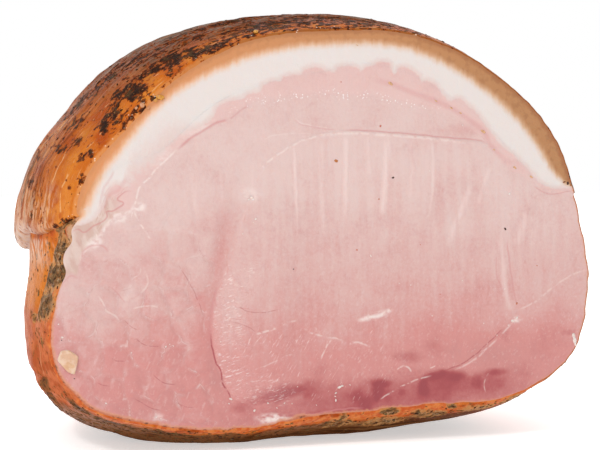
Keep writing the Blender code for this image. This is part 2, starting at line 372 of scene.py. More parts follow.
# Lines on the cut: half a line's width in millimetres, its strength, and the places it passes.
PALE_LINES = [
    (0.3, 0.72, [(-55.8, 27), (-59.1, 23.6), (-62.5, 20.8), (-65.2, 17.6), (-68.5, 14.3),
                 (-69.9, 11.7), (-70.5, 8.8), (-71.5, 6.2)]),
    (0.55, 0.76, [(-71.2, 7.5), (-73, 5.2), (-77.2, 4.2), (-79.2, 2.2), (-81, 0), (-82.6, -2.2),
                  (-84.6, -4.2), (-87, -6.6)]),
    (0.28, 0.68, [(-71.5, 6.2), (-70.5, 3.9), (-69.2, 1.6), (-67.9, -0.5), (-66.7, -2.4),
                  (-65.4, -4.4)]),
    (0.83, 0.72, [(-87.2, -6.4), (-84.6, -3.8), (-82.4, -4.6)]),
    (0.28, 0.72, [(-89.6, -11.5), (-89.2, -9.4), (-88, -7.6), (-86.6, -6.4)]),
    (0.25, 0.48, [(-83.9, -22.7), (-81.9, -26.2), (-80.9, -28.3), (-78, -30), (-76.3, -32)]),
    (0.22, 0.4, [(-72.6, -18.4), (-71, -17.1), (-69.3, -15.9), (-69, -13.9)]),
    (0.25, 0.4, [(-67, -15.6), (-66.3, -18.5), (-67, -20.8), (-69.2, -22.6)]),
    (0.22, 0.48, [(-71.7, -27.9), (-68.7, -27.1), (-65, -27), (-62.7, -27.5)]),
    (0.3, 0.6, [(-25.6, 20), (-25, 20.9), (-22.2, 23.3), (-18.5, 25.6), (-14.8, 27.8),
                (-11.1, 29.5), (-5.5, 31.2), (0.1, 32)]),
    (0.45, 0.5, [(-6, 31), (0.1, 31.9), (5.8, 32.2), (15.3, 31.8), (32, 30.6), (41.8, 29.6),
                 (50, 29)]),
    (0.19, 0.28, [(-25.5, 29.7), (-21.3, 31.3), (-13.9, 32.2), (-5.5, 31.6)]),
    (0.19, 0.32, [(-14, 37.4), (-11.6, 35.6), (-4.6, 34.3), (0.1, 33.6)]),
    (0.3, 0.64, [(-28.4, -37.7), (-25, -36.9), (-21, -35.8)]),
    (0.28, 0.4, [(-20, -35.4), (-17, -34.2), (-13.4, -33.4)]),
    (0.22, 0.36, [(-29.1, -50.4), (-22.4, -47.9), (-18.1, -45.9), (-14.7, -45.2)]),
    (0.28, 0.48, [(-9, -37.7), (-6, -38.6), (-3.2, -39.3), (1.6, -40.2), (4, -41.2)]),
    (0.25, 0.56, [(-0.4, -40.6), (-1.8, -42.4), (-3, -44.6), (-4.4, -47.2)]),
    # This one is a painted highlight: a wet white smear.
    (0.52, 0.8, [(9.4, -34.4), (13.3, -33.2), (17.7, -32.7), (20.4, -31.2), (22.6, -30.4)]),
    (0.33, 0.48, [(6, -42.6), (8, -42), (10.6, -42.2), (14.6, -43.8)]),
    (0.19, 0.4, [(60, -54), (58.4, -56.4), (57.6, -59), (58.4, -61.5)]),
    (0.28, 0.36, [(71.1, -31.9), (75, -30.4), (79.1, -28.4), (83.6, -24.8), (91, -20.3),
                  (98.9, -17.6)]),
    (0.28, 0.64, [(24, -52.4), (25.4, -51.3), (26.9, -50.9), (28.7, -51.8), (29.8, -53.4)]),
    (0.22, 0.56, [(35.6, -52.5), (37.2, -51.9), (38.9, -51.2)]),
    (0.22, 0.56, [(17.6, -63), (21.3, -60.6), (26.8, -57.9), (32.2, -55.9), (37.7, -54.7)]),
    (0.3, 0.45, [(45.2, -53.2), (50.8, -51.3), (55.3, -48.7), (58.8, -45.6), (62.6, -42.6),
                 (66.4, -39.1), (69.4, -36)]),
    (0.19, 0.4, [(-84.9, 12.6), (-83.9, 8.4), (-83.6, 5), (-84.6, 2.4)]),
    (0.22, 0.36, [(-81.9, 15.5), (-82.3, 10.5), (-81.6, 7.5), (-82.4, 4.2), (-84.4, 1)]),
    (1.21, 0.56, [(-27, -68.5), (-22, -68.7), (-17, -68.4), (-14, -67.6)]),
]
# Darker pink seams, where one muscle ends and the next begins.
PINK_LINES = [
    (0.5, 0.55, [(-41.6, -20), (-43.4, -26), (-44.3, -32), (-44.4, -39), (-43.6, -45)]),
    (0.9, 0.34, [(14, 51.4), (21.6, 49.7), (30, 46.6), (38.8, 43.7), (44.7, 41.2), (50, 38),
                 (56.5, 33.3), (61.3, 26.3), (69.4, 19.8)]),
    (0.42, 0.64, [(-56.4, 26.2), (-50.5, 30.8), (-46, 33.4), (-41.4, 35.9), (-37.8, 36.9)]),
    (0.3, 0.38, [(-37.8, 36.9), (-35.2, 38.3), (-33.2, 40), (-30, 41.8)]),
    (0.27, 0.68, [(-71, 12.5), (-74, 12), (-76.4, 10.4), (-76.6, 9.3), (-75, 8.5), (-75.3, 7.4),
                  (-78.3, 5.6), (-80.4, 5.5), (-80.5, 3.6), (-82, 1.9), (-85.1, 0.7), (-87.2, -1),
                  (-88.7, -1.5), (-90, -0.6), (-91.3, -0.5), (-93.6, -2)]),
    (0.3, 0.45, [(-89.4, -9.2), (-87.7, -7), (-85.3, -6), (-83.1, -5.8), (-81.2, -6.8),
                 (-80.3, -8.6)]),
    (0.27, 0.52, [(3, 33.3), (9, 33.2), (15.3, 32.9), (24, 32.3), (32, 31.7), (41.8, 30.7),
                  (54, 29.8), (59.4, 28.4)]),
    (0.24, 0.3, [(-14, 36.9), (-11.6, 35.2), (-4.6, 33.9), (1.1, 33.2)]),
    (0.3, 0.38, [(-90.4, -17.2), (-92.7, -16.1), (-94.3, -17), (-95.6, -19)]),
    (0.4, 0.3, [(-78.1, 19.6), (-79, 16.9), (-81.3, 13.8), (-82.2, 10.7), (-83, 6.8)]),
    (0.7, 0.3, [(-73, 17.7), (-76.2, 13), (-79.4, 11.4), (-80.6, 8.3), (-82.6, 5.2)]),
    (0.24, 0.38, [(62.4, -12), (62.2, -17), (63.2, -21), (65, -25.5)]),
    (0.3, 0.45, [(66.6, -6), (67.2, -12), (68.2, -18.2), (69.4, -25), (70.6, -31.5)]),
    (0.24, 0.38, [(76, 13.6), (82, 10.4), (86, 10.2), (92, 11.3), (96, 11.3)]),
    (0.24, 0.45, [(-37.1, -58.8), (-32.8, -60.3), (-29.1, -63.2), (-25.3, -66.1)]),
    (0.3, 0.68, [(-13.8, -67.2), (-9, -66.9), (-5.6, -66.6), (1.6, -65.6), (6.5, -65.3),
                 (12, -65.2)]),
    (0.21, 0.45, [(-79.2, -20.2), (-77.6, -21.8), (-76.3, -23.2), (-74, -26)]),
    (0.54, 0.45, [(88.6, -41.6), (91, -40.7), (94, -40.4)]),
]
# Fine dark cracks, where two muscles have come apart.
HAIRLINES = [
    (0.22, 0.95, [(-44.2, -36), (-43.9, -41), (-43.4, -44.6), (-42.6, -47.2), (-41.2, -49.4),
                  (-40.6, -51.8), (-40.2, -54.4), (-38.8, -57), (-37.8, -58.4), (-37.2, -60.8)]),
    (0.14, 0.45, [(-38.9, -27.8), (-34.2, -28.3), (-31.9, -29.5), (-27.1, -30.3), (-23, -29.9),
                  (-19.5, -29.2)]),
    (0.14, 0.36, [(-36.6, -33.3), (-33.8, -34), (-30.9, -35.3), (-28.4, -37)]),
    (0.19, 0.68, [(41.6, -53.4), (46.6, -51.8), (49.9, -50.6), (54.3, -47.9), (57.7, -44.8),
                  (61.6, -41.8), (65.5, -38.3)]),
    (0.14, 0.45, [(-55.8, -13), (-52, -19), (-49, -25), (-47, -31)]),
]
# Between the left muscle's lobules: short pale dashes, which are painted highlights, and thin dark
# arcs of painted shade under some of them.
DASHES = [
    (-73, -34.6), (-73.7, -44.7), (-72.1, -42.5), (-78.7, -52.4), (-66.7, -47.6), (-72.4, -56),
    (-70.8, -66.2), (-61.4, -40.9), (-59, -41.6), (-56, -39.4), (-55.7, -52), (-60.8, -60),
    (-80.8, -60.2), (-64.8, -67.1), (-67.1, -55.8), (-68.7, -33.1), (-52.6, -58.4), (-47.6, -63.2),
    (-57.6, -46.4), (-84.6, -44.8), (-49.8, -49.4), (-54.4, -66), (-44.8, -55.8), (-78, -38.6),
]
for k, (x, z) in enumerate(DASHES):
    long = 0.7 + 0.4 * (k * 7 % 5)
    wide = 0.2 + 0.07 * (k * 5 % 4)
    dash = [(x - 0.3 * long, z - long), (x + 0.1, z), (x + 0.4 * long, z + long)]
    PALE_LINES.append((wide, 0.2, dash))
HAIRLINES += [
    (0.15, 0.5, [(-70.7, -38), (-68.1, -40), (-64.7, -40.9), (-62.4, -41.2)]),
    (0.15, 0.5, [(-79, -44.6), (-77.4, -45.6), (-74.7, -45.7)]),
    (0.15, 0.55, [(-64.7, -50.6), (-62.1, -53.1), (-59.4, -54.1), (-57, -54.4)]),
    (0.15, 0.5, [(-71.1, -58.6), (-68.1, -60.7), (-64.8, -62.5), (-62.1, -63)]),
    (0.15, 0.5, [(-84, -53), (-82.4, -53.6), (-79.7, -54)]),
    (0.15, 0.4, [(-56.6, -60.6), (-53.4, -62.2), (-50.4, -62.4)]),
    (0.15, 0.4, [(-74.6, -31.6), (-72.4, -33.8), (-70.2, -35)]),
]
# Soft pale streaks, where the knife drew the fat's gloss along the fibres.
STREAKS = [
    (0.54, 0.75, [(-14.6, 28), (-13.9, 20), (-13.6, 8), (-13.2, -4)]),
    (0.78, 0.45, [(-4.4, 30), (-4.1, 20), (-3.8, 8), (-3.2, -4)]),
    (0.9, 0.7, [(4.9, 32), (4.9, 24), (4.7, 12), (4.4, 2)]),
    (0.84, 0.45, [(12.4, 31), (12.8, 25), (13.4, 17)]),
    (0.96, 0.8, [(20.2, 31.5), (20, 22), (19.2, 10), (18.6, 3)]),
    (0.48, 0.55, [(37.3, 29.4), (37.7, 22), (37.5, 12), (36, 2)]),
    (0.9, 0.7, [(52.2, 14), (49.6, 7), (46.6, 0), (43.6, -9)]),
    (0.66, 0.45, [(60.4, 21), (57.4, 14), (55.2, 6)]),
    (1.44, 0.55, [(74.6, 4), (72.6, -2), (70.2, -8)]),
    (0.6, 0.4, [(29.4, 30), (29.8, 20), (29.2, 8)]),
    (0.96, 0.6, [(63.4, -3), (64.8, -15), (65.9, -24), (68.6, -33)]),
    (0.72, 0.4, [(-29.6, 22), (-29, 16), (-28.6, 8)]),
    (0.6, 0.35, [(-50.4, 19), (-50.2, 12), (-49.8, 5)]),
    (0.54, 0.3, [(-41, 20), (-40.4, 14), (-40, 8)]),
]
# Softer, deeper pink and paler patches: the middle, the reach each way, and how much pinker.
PATCHES = [
    (-38.5, 3, 4.5, 8, 0.24), (-39.5, -6, 3.2, 7, 0.26), (-42.5, -14, 3.6, 8, 0.26),
    (-47, -30, 4, 10, 0.16), (-45, -46, 4, 9, 0.22), (-42, -56, 4, 5, 0.25), (-62, 3, 8, 9, -0.14),
    (-88, -30, 9, 12, -0.16), (-70, -10, 12, 9, 0.05), (-62, -42, 18, 12, 0.14),
    (-38, -30, 5, 8, -0.14), (-37, -47, 5, 6, 0.12), (5, -50, 10, 5, 0.14), (31, -45, 12, 6, 0.12),
    (45, -34, 20, 12, 0.10), (60, -47, 18, 7, 0.36), (85, -38, 8, 7, 0.24), (84, -52, 10, 7, 0.06),
    (76, -14, 6, 6, 0.14), (80, 2, 8, 8, -0.06), (52, 34, 8, 3, 0.30), (44, 32.5, 10, 2, 0.16),
    (-45, 38, 4, 2.5, 0.30), (-53, 29.5, 3, 1.5, 0.2), (92, -4, 5, 12, 0.04),
    (60, -20, 12, 10, 0.04),
]
# Deep rose patches near the bottom: the middle, the half sizes, the tilt in degrees, the depth.
ROSE_PATCHES = [
    (20, -62.4, 52, 8.4, 3, 0.72), (-19, -58.8, 14, 2.8, 13, 0.85), (-18, -58.6, 7, 2.2, 12, 1.0),
    (-9, -59.4, 4.2, 3.8, 0, 0.72), (8, -61, 4.4, 3, 30, 0.9), (12, -63.2, 4.4, 3.6, -20, 1.15),
    (18, -56.8, 5, 2, 0, 1.25), (17, -59.2, 3, 3.2, 0, 1.3), (16.6, -61.4, 1.8, 2.6, 0, 1.35),
    (21, -62, 4, 2.8, 0, 0.8), (25.6, -60.4, 2.4, 2.2, 0, 0.95), (34.6, -58.6, 2, 4, 0, 1.25),
    (39.4, -55, 4.8, 2, 12, 1.2), (46.4, -55.4, 4.8, 2.6, 0, 1.1), (43, -57.4, 11, 3.8, 3, 0.95),
    (40, -61.8, 13, 2.4, 6, 0.72), (54.2, -57.6, 3.4, 3.6, 0, 0.95), (61.2, -58, 7, 4.6, 5, 0.72),
    (62, -54.4, 5.6, 1.5, 5, 0.9), (29, -47.6, 5.4, 2.4, 0, 0.55), (27.5, -52.6, 4.4, 2, 0, 0.3),
    (71, -57, 8, 4.6, 25, 0.4), (-34, -63.8, 4, 2, 0, 0.5), (65.6, -40.6, 2, 3, 25, 0.4),
    (91.4, -41, 3, 1.4, 5, 0.5), (38.4, -45, 4, 3.4, 0, 0.35), (-5.6, -51.4, 4, 3, 20, 0.32),
    (84, -44, 8, 6, 40, 0.25), (2, -66.2, 15, 1.2, 3, 0.85),
]
# Soft white places, partly white fat and partly painted highlights where the cut is wet: the middle,
# the half sizes, the tilt and the strength.
PALE_PATCHES = [
    (-21.8, -67.6, 7, 1.9, -4, 1.0), (-69.6, 6.4, 3.2, 2.2, 35, 0.8), (-84.8, -5.4, 3.4, 2, 30, 0.9),
    (-61.5, 24, 4.5, 2, 42, 0.45), (-76, 2.8, 4, 1.6, 15, 0.6), (15.8, -32.6, 7.5, 1.3, 14, 0.7),
    (-63, -65.6, 3, 1.6, 0, 0.5), (-29.8, 11, 3.4, 5, 80, 0.35), (-49, 33, 8, 1.8, 28, 0.4),
    (70.5, -35.5, 1.8, 1.4, 0, 0.8), (-72, -23, 6, 4, 20, 0.2), (-52, -41, 4, 3, 0, 0.2),
]
# How pink the lean is at each height above the middle.
PINKNESS = [
    (-75, 1.15), (-62, 1.1), (-52, 1.02), (-45, 0.92), (-30, 0.64), (-15, 0.43), (0, 0.28),
    (12, 0.16), (24, 0.08), (32, 0.1), (40, 0.14), (48, 0.24), (60, 0.3),
]
# Round the cut: how deep the smoke coloured the fat under the rind, and how brown it is.
BAND_WIDTH = {
    0: -3.0, 7: -1.0, 9: 3.0, 13: 6.4, 24: 7.6, 38: 7.2, 50: 6.8, 62: 5.8, 90: 5.2, 113: 6.0,
    126: 5.6, 140: 4.2, 152: 3.2, 163: 4.4, 174: 4.8, 177.5: 2.0, 180: -1.0, 200: -3.0, 270: -3.0,
}
BAND_BROWNNESS = {0: 1.0, 40: 0.95, 70: 0.75, 90: 0.6, 115: 0.35, 135: 0.15, 160: 0.0, 200: 0.0}
# Round the cut: how thick the crust is where the knife went through it.
RIM_WIDTH = {
    0: 0.15, 8: 0.1, 12: -1.0, 90: -1.0, 176: -1.0, 184: -0.4, 191: 0.1, 200: 0.8, 212: 1.2,
    225: 1.1, 240: 0.9, 254: 0.9, 259.6: 1.7, 264: 0.9, 268: 0.6, 290: 0.5, 312: 0.4, 318: 0.1,
    330: 0.1, 345: 0.15,
}


def smooth_line(places, steps=6):
    """A smooth line through these places, as a dense row of points."""
    places = np.array(places, float)
    before = 2 * places[0] - places[1]
    after = 2 * places[-1] - places[-2]
    places = np.concatenate([[before], places, [after]])
    t = np.linspace(0, 1, steps, endpoint=False)[:, None]
    stretches = []
    for a, b, c, d in zip(places, places[1:], places[2:], places[3:]):
        bend = (2 * a - 5 * b + 4 * c - d) * t**2 + (3 * b - a - 3 * c + d) * t**3
        stretches.append(0.5 * (2 * b + (c - a) * t + bend))
    return np.concatenate([*stretches, places[-2:-1]])


def beside(spots, line):
    """How far spots lie from a line, above zero on its left, and how far along it, 0 to 1."""
    near = np.full(len(spots), 1e9)
    side = np.zeros(len(spots))
    run = np.zeros(len(spots))
    for k, (start, end) in enumerate(zip(line, line[1:])):
        way = end - start
        reach = np.clip((spots - start) @ way / (way @ way), 0, 1)
        off = spots - start - reach[:, None] * way
        far = np.hypot(off[:, 0], off[:, 1])
        closer = far < near
        turn = way[0] * off[:, 1] - way[1] * off[:, 0]
        near[closer] = far[closer]
        side[closer] = np.where(turn >= 0, far, -far)[closer]
        run[closer] = (k + reach[closer]) / (len(line) - 1)
    return side, run


def in_space(x, z):
    """Places on the cut as points, for the noise."""
    return np.stack([x, 0 * x, z], -1)


def line_marks(spots, lines, reach=5.0):
    """The nearest line: the side in half widths, the way beyond its edge, and its strength."""
    flat = in_space(*spots.T)
    shake = [soft_noise(flat, 2.6, 31), soft_noise(flat, 2.6, 32)]
    spots = spots + 0.22 * np.stack(shake, -1)
    side = np.full(len(spots), 30.0)
    beyond = np.full(len(spots), 30.0)
    strength = np.zeros(len(spots))
    for half_width, power, places in lines:
        line = smooth_line(places)
        close = ((spots > line.min(0) - reach) & (spots < line.max(0) + reach)).all(1)
        close = np.flatnonzero(close)
        off, run = beside(spots[close], line)
        past = np.abs(off) - half_width
        better = past < beyond[close]
        chosen = close[better]
        side[chosen] = off[better] / half_width
        beyond[chosen] = past[better]
        strength[chosen] = power * np.clip(10 * run * (1 - run), 0, 1)[better]
    return side, beyond, strength


def lobule_middles():
    """Middles of the small lobules in the left muscle, in rows that lean to the right."""
    chance = np.random.default_rng(11)
    middles = []
    for row in range(9):
        for column in range(8):
            x = -103 + 9.6 * column + 4.2 * (row % 2) + 1.2 * row
            middles.append((x, -72 + 9.4 * row))
    return np.array(middles) + chance.uniform(-2.3, 2.3, (len(middles), 2))


LOBULES = lobule_middles()
# The cut's own outline in millimetres, as one closed line.
outline = np.concatenate([rind_form[0][:-1], crust_form[0][:-1]])[::2, [0, 2]] / MM
outline = np.concatenate([outline, outline[:1]])
outline = outline[np.append(np.hypot(*np.diff(outline, axis=0).T) > 0.01, True)]


def from_middle(off_x, off_z, half_x, half_z, tilt):
    """How far places lie from a tilted oval's middle, where the oval itself is at 1."""
    tilt = math.radians(tilt)
    along = (off_x * math.cos(tilt) + off_z * math.sin(tilt)) / half_x
    across = (off_z * math.cos(tilt) - off_x * math.sin(tilt)) / half_z
    return np.hypot(along, across)


def patch_marks(x, z):
    """How pink, how rose and how white the cut is here."""
    flat = in_space(x, z)
    heights, values = np.array(PINKNESS).T
    pink = np.interp(z + 3 * soft_noise(flat, 30, 21), heights, values)
    for middle_x, middle_z, reach_x, reach_z, amount in PATCHES:
        way = np.hypot((x - middle_x) / reach_x, (z - middle_z) / reach_z)
        pink = pink + amount * np.exp(-(way**2))
    shake_x = 1.0 * soft_noise(flat, 7, 22) + 0.4 * soft_noise(flat, 2.6, 33)
    shake_z = 0.6 * soft_noise(flat, 6, 23) + 0.35 * soft_noise(flat, 2.6, 34)
    rose = np.zeros(len(x))
    for middle_x, middle_z, half_x, half_z, tilt, power in ROSE_PATCHES:
        off_x, off_z = x - middle_x + shake_x, z - middle_z + shake_z
        way = from_middle(off_x, off_z, half_x, half_z, tilt)
        patch = power * (1 - rising(way, 0.25, 1.6))
        rose = np.maximum(rose, patch) + 0.25 * np.minimum(rose, patch)
    white = np.zeros(len(x))
    for middle_x, middle_z, half_x, half_z, tilt, power in PALE_PATCHES:
        off_x, off_z = x - middle_x + 0.3 * shake_x, z - middle_z + 0.3 * shake_z
        way = from_middle(off_x, off_z, half_x, half_z, tilt)
        white = np.maximum(white, power * (1 - rising(way, 0.2, 1.25)))
    return {"pinkness": pink, "rose": rose, "white": white}


def lobule_marks(x, z, topside, rim):
    """The left muscle's lobules: the way to the next one, where it lies, and the lobule's tone."""
    tree = KDTree(len(LOBULES))
    for k, (middle_x, middle_z) in enumerate(LOBULES):
        tree.insert((middle_x, middle_z, 0), k)
    tree.balance()
    gap = np.full(len(x), 5.0)
    turn = np.zeros(len(x))
    tone = np.zeros(len(x))
    sway = 1.5 * soft_noise(in_space(x, z), 6, 24)
    for k in np.flatnonzero((topside < -1) & (rim < -1) & (x < -30)):
        spot = (x[k] + sway[k], z[k] - sway[k], 0)
        (near, _, first), (_, _, second) = tree.find_n(spot, 2)
        gap[k] = second - first
        own_tone = math.sin(37.0 * near.x) + 0.5 * math.sin(53.0 * near.y)
        tone[k] = own_tone * min(1, (second - first) / 2.5)
        turn[k] = (math.degrees(math.atan2(spot[1] - near.y, spot[0] - near.x)) + 270) % 360
    left_muscle = rising(-topside, 0.5, 4) * rising(-rim, 0.5, 4) * rising(-x, 38, 46)
    lobules = left_muscle * (0.4 + 0.6 * rising(-z, 0, 26))
    return {
        "lobule_gap": gap, "lobule_turn": turn, "lobule_tone": tone * left_muscle,
        "lobules": lobules,
    }


def cut_marks(spots):
    """What the cut shows at these places, and how far it stands out from the knife's plane."""
    x, z = spots.T
    flat = in_space(x, z)
    angle = np.degrees(np.arctan2(z, x)) % 360
    skin = beside(spots, outline)[0]
    fat = beside(spots, smooth_line(FAT_EDGE))[0]
    rim = beside(spots, smooth_line(RIM))[0]
    topside = -beside(spots, smooth_line(TOPSIDE))[0]
    marks = {"skin": skin, "rim": rim, "topside": topside}
    marks["fat"] = fat / (1 + 3.5 * rising(-x, 46, 62) * (1 - rising(-x, 71, 76)))
    marks["band"] = round_the_ham(BAND_WIDTH, angle, 1.0) - skin
    marks["brown"] = round_the_ham(BAND_BROWNNESS, angle, 1.0)
    marks["cut_rim"] = round_the_ham(RIM_WIDTH, angle, 1.0) - skin
    marks["cream"] = rising(-x, 74, 81) * (1 - rising(z, 8, 13))
    marks.update(patch_marks(x, z))
    marks.update(lobule_marks(x, z, topside, rim))

    # The knife's own unevenness, and the lines, which stand up or lie in a little.
    out = 0.22 * soft_noise(flat, 19, 25) + 0.09 * soft_noise(flat, 6, 26)
    out = out + 0.04 * soft_noise(flat, 1.9, 27)
    for name, lines, height in (
        ("pale", PALE_LINES, 0.10), ("line", PINK_LINES, -0.2), ("hair", HAIRLINES, -0.22),
        ("streak", STREAKS, 0.10),
    ):
        side, beyond, power = line_marks(spots, lines)
        marks[name], marks[name + "_beyond"], marks[name + "_power"] = side, beyond, power
        out = out + height * power * (1 - rising(beyond, -0.1, 0.5))

    # The topside stands out over the left muscle, which is hollow beside it.
    left_side = rising(-x, 8, 22) * (1 - rising(z, 0, 18)) * rising(z, -66, -58)
    bank = 0.55 * rising(topside, -0.5, 0.5) + 1.0 * (1 - np.exp(-np.maximum(topside, 0) / 5))
    hollow = 0.9 * np.exp(-(((topside + 3.5) / 3.5) ** 2)) * rising(z, -30, -8)
    out = out + left_side * (bank - hollow)
    out = out + 0.3 * rising(topside, -0.4, 0.4) * rising(z, 14, 20) * (1 - rising(x, 55, 62))

    # The topside's fibres: drawn and wet along its left edge, where the material paints sheen over
    # them, and slanting low down.
    wet_sheen_zone = rising(topside, 0, 1) * (1 - rising(topside, 8, 15)) * left_side * rising(-z, 8, 20)
    drawn = in_space(x / 3.2, (z + 0.12 * x) / 0.95)
    out = out + 0.07 * wet_sheen_zone * soft_noise(drawn, 1.0, 28)
    marks["wet"] = wet_sheen_zone
    slant = in_space((0.5 * x + 0.87 * z) / 3.6, (0.87 * x - 0.5 * z) / 0.9)
    low_topside = rising(topside, 1, 6) * rising(-z, 28, 40) * (1 - rising(x, 12, 40))
    out = out + 0.06 * low_topside * soft_noise(slant, 1.0, 29)
    marks["slanted"] = low_topside

    # The fat and each lobule stand a little proud, and a row of painted glints follows the thin
    # seam.
    out = out + 0.12 * rising(fat, -1.0, 1.2)
    out = out + 0.5 * marks["lobules"] * rising(marks["lobule_gap"], 0.1, 3.6)
    row = np.abs(rim + 1.0 * soft_noise(flat, 7, 30))
    marks["dots"] = np.exp(-((row / 1.5) ** 2)) * rising(z, 37, 42) * (1 - rising(x, 28, 50))
    return marks, out * rising(skin, 0.1, 1.6)


def meat_mesh(name, grids, materials):
    """One closed piece from grids of points: each a grid, a material number and its faces."""
    points, faces, finish = [], [], []
    start = 0
    for grid, material, cells in grids:
        numbers = start + np.arange(grid.shape[0] * grid.shape[1]).reshape(grid.shape[:2])
        made = cells(numbers)
        faces += made
        finish += [material] * len(made)
        points.append(grid.reshape(-1, 3))
        start += numbers.size
    mesh = bpy.data.meshes.new(name)
    mesh.from_pydata((np.concatenate(points) + MIDDLE).tolist(), [], faces)
    for material in materials:
        mesh.materials.append(material)
    mesh.polygons.foreach_set("material_index", np.array(finish, np.int32))
    tidy = bmesh.new()
    tidy.from_mesh(mesh)
    bmesh.ops.remove_doubles(tidy, verts=tidy.verts, dist=0.002 * MM)
    bmesh.ops.delete(tidy, geom=[v for v in tidy.verts if not v.link_faces], context="VERTS")
    bmesh.ops.holes_fill(tidy, edges=[edge for edge in tidy.edges if edge.is_boundary], sides=6)
    bmesh.ops.recalc_face_normals(tidy, faces=tidy.faces)
    tidy.to_mesh(mesh)
    tidy.free()
    mesh.shade_smooth()
    mesh.set_sharp_from_angle(angle=math.radians(50))
    piece = bpy.data.objects.new(name, mesh)
    bpy.context.scene.collection.objects.link(piece)
    return piece


def set_values(mesh, name, values):
    """Lets a mesh carry one value for each of its points, under this name."""
    layer = mesh.attributes.new(name, "FLOAT", "POINT")
    layer.data.foreach_set("value", np.asarray(values, np.float32))


# Where herbs and spices lie thick on the outside: the angle, the depth behind the cut in
# millimetres, the reach each way in degrees and in millimetres, and how thick they lie.
HERB_BEDS = [
    # Along the rind's front, from the left over the top to the right.
    (146.4, 8, 2.6, 5, 1.5), (148.6, 12, 1.6, 3, 1.2), (143.5, 11, 2, 3, 1.0),
    (154.9, 7.6, 2.6, 3.2, 1.4), (157, 4.5, 1.5, 2, 0.9), (151.5, 10.5, 1.8, 2.4, 1.0),
    (138.5, 10.5, 2.6, 3, 1.3), (134.4, 8.4, 3, 4, 1.5), (129.5, 6.5, 3, 3, 1.4),
    (131.8, 14.5, 3, 3, 1.0), (136.5, 2.6, 2.4, 1.6, 0.9), (126, 3, 4, 2.4, 1.2),
    (121, 3.5, 4, 3, 1.2), (115, 8, 5, 6, 1.2), (107, 10, 6, 8, 1.2), (98, 11, 6, 8, 1.2),
    (89, 10, 6, 8, 1.1), (81, 8, 6, 7, 1.05), (73, 7, 5, 6, 0.9), (66, 6, 5, 5, 0.8),
    (55, 8, 7, 6, 0.7), (44, 14, 9, 7, 0.6), (30, 10, 8, 6, 0.5), (16, 8, 5, 5, 0.8),
    (9.5, 1.5, 2, 2, 1.0),
    # Near the cut, on the rind's left.
    (149.8, 0.8, 2, 1.2, 0.9), (146.5, 0.6, 1.5, 1, 0.8), (154.5, 0.8, 3.4, 0.8, 0.75),
    (164.4, 4.6, 1.3, 2.6, 1.1), (169.5, 0.8, 1.3, 1.2, 1.1), (162, 13.4, 1.3, 2.6, 1.0),
    (171.1, 3.7, 0.9, 1.4, 0.6),
    # Further back on the rind.
    (164, 17, 1.2, 4, 1.1), (159, 22, 3, 4, 0.9), (152, 33, 4, 6, 1.0), (148, 28, 4, 6, 0.9),
    (143.6, 27, 4, 6, 1.1), (138.6, 23, 4, 5, 1.0), (133.6, 20, 4, 4, 1.0), (126, 18, 6, 5, 1.0),
    (167, 34, 3, 5, 0.8), (171, 30, 2, 5, 0.8), (162.7, 37, 3, 6, 0.8), (115, 24, 8, 6, 1.0),
    (98, 28, 12, 8, 0.9), (78, 30, 12, 8, 0.8),
    # On the pleats at the left end, and below them.
    (178.6, 3.0, 0.8, 2.4, 1.2), (180.6, 6.5, 1.3, 4.0, 1.3), (182.6, 6.0, 1.6, 4, 1.15),
    (185.2, 4.0, 2.3, 6.0, 1.6), (189.6, 6.0, 2.3, 8.5, 1.6), (192.0, 12, 1.6, 5, 1.1),
    (194.8, 8.4, 2.2, 7.5, 1.6), (196.8, 14, 1.3, 3.4, 1.0), (197.6, 24, 0.9, 2.4, 1.2),
    (201.2, 9, 1, 1.8, 1.0), (209.6, 24, 1.4, 6, 1.1), (212.4, 27, 1.6, 5, 1.1),
    (215, 7.5, 2.6, 3.5, 1.4), (221, 9, 4, 4, 1.2),
    # Along the underside and up the right.
    (231, 8, 5, 4, 1.2), (243, 7, 6, 4, 1.1), (258, 8, 7, 4, 1.0), (272, 7, 6, 4, 1.1),
    (287, 8, 6, 4, 1.1), (299, 5, 4, 3, 1.2), (310, 4, 4, 3, 1.0), (318, 5, 3, 4, 1.1),
    (288, 1.2, 3, 1.3, 1.4), (274, 1.6, 1.4, 1.5, 1.2), (304.5, 1, 1.2, 1.3, 1.4),
    (248.5, 1.4, 1.6, 1.6, 1.2), (258, 1, 1, 0.8, 1.0), (296, 2.4, 2, 1.5, 1.0),
    (235, 2, 1.6, 1.4, 1.0), (330, 6, 4, 5, 0.9), (344, 5, 4, 4, 0.8), (355, 6, 4, 4, 0.8),
    # Over the back.
    (222, 24, 8, 16, 1.0), (215, 36, 3, 12, 0.95), (238, 22, 9, 12, 1.0), (190, 62, 6, 12, 0.6),
    (150, 60, 14, 10, 0.9), (110, 66, 18, 12, 0.9), (60, 58, 18, 12, 0.9), (20, 42, 10, 12, 0.7),
    (340, 44, 9, 14, 0.75), (345, 92, 12, 12, 0.7), (40, 98, 18, 12, 0.8), (90, 112, 24, 10, 0.9),
    (150, 104, 18, 12, 0.8), (200, 96, 12, 14, 0.75), (320, 74, 10, 14, 0.7), (0, 70, 10, 10, 0.6),
    (15, 118, 16, 10, 0.8),
]


def herb_thickness(angle, depth):
    """How thick the herbs lie at this angle and this depth in millimetres, 0 to about 1.5."""
    thick = np.zeros(np.shape(angle))
    for middle, deep, reach, reach_back, power in HERB_BEDS:
        off = (angle - middle + 180) % 360 - 180
        spread = np.hypot(off / reach, (depth - deep) / reach_back)
        thick = np.maximum(thick, power * (1 - rising(spread, 0.5, 1.7)))
    return thick


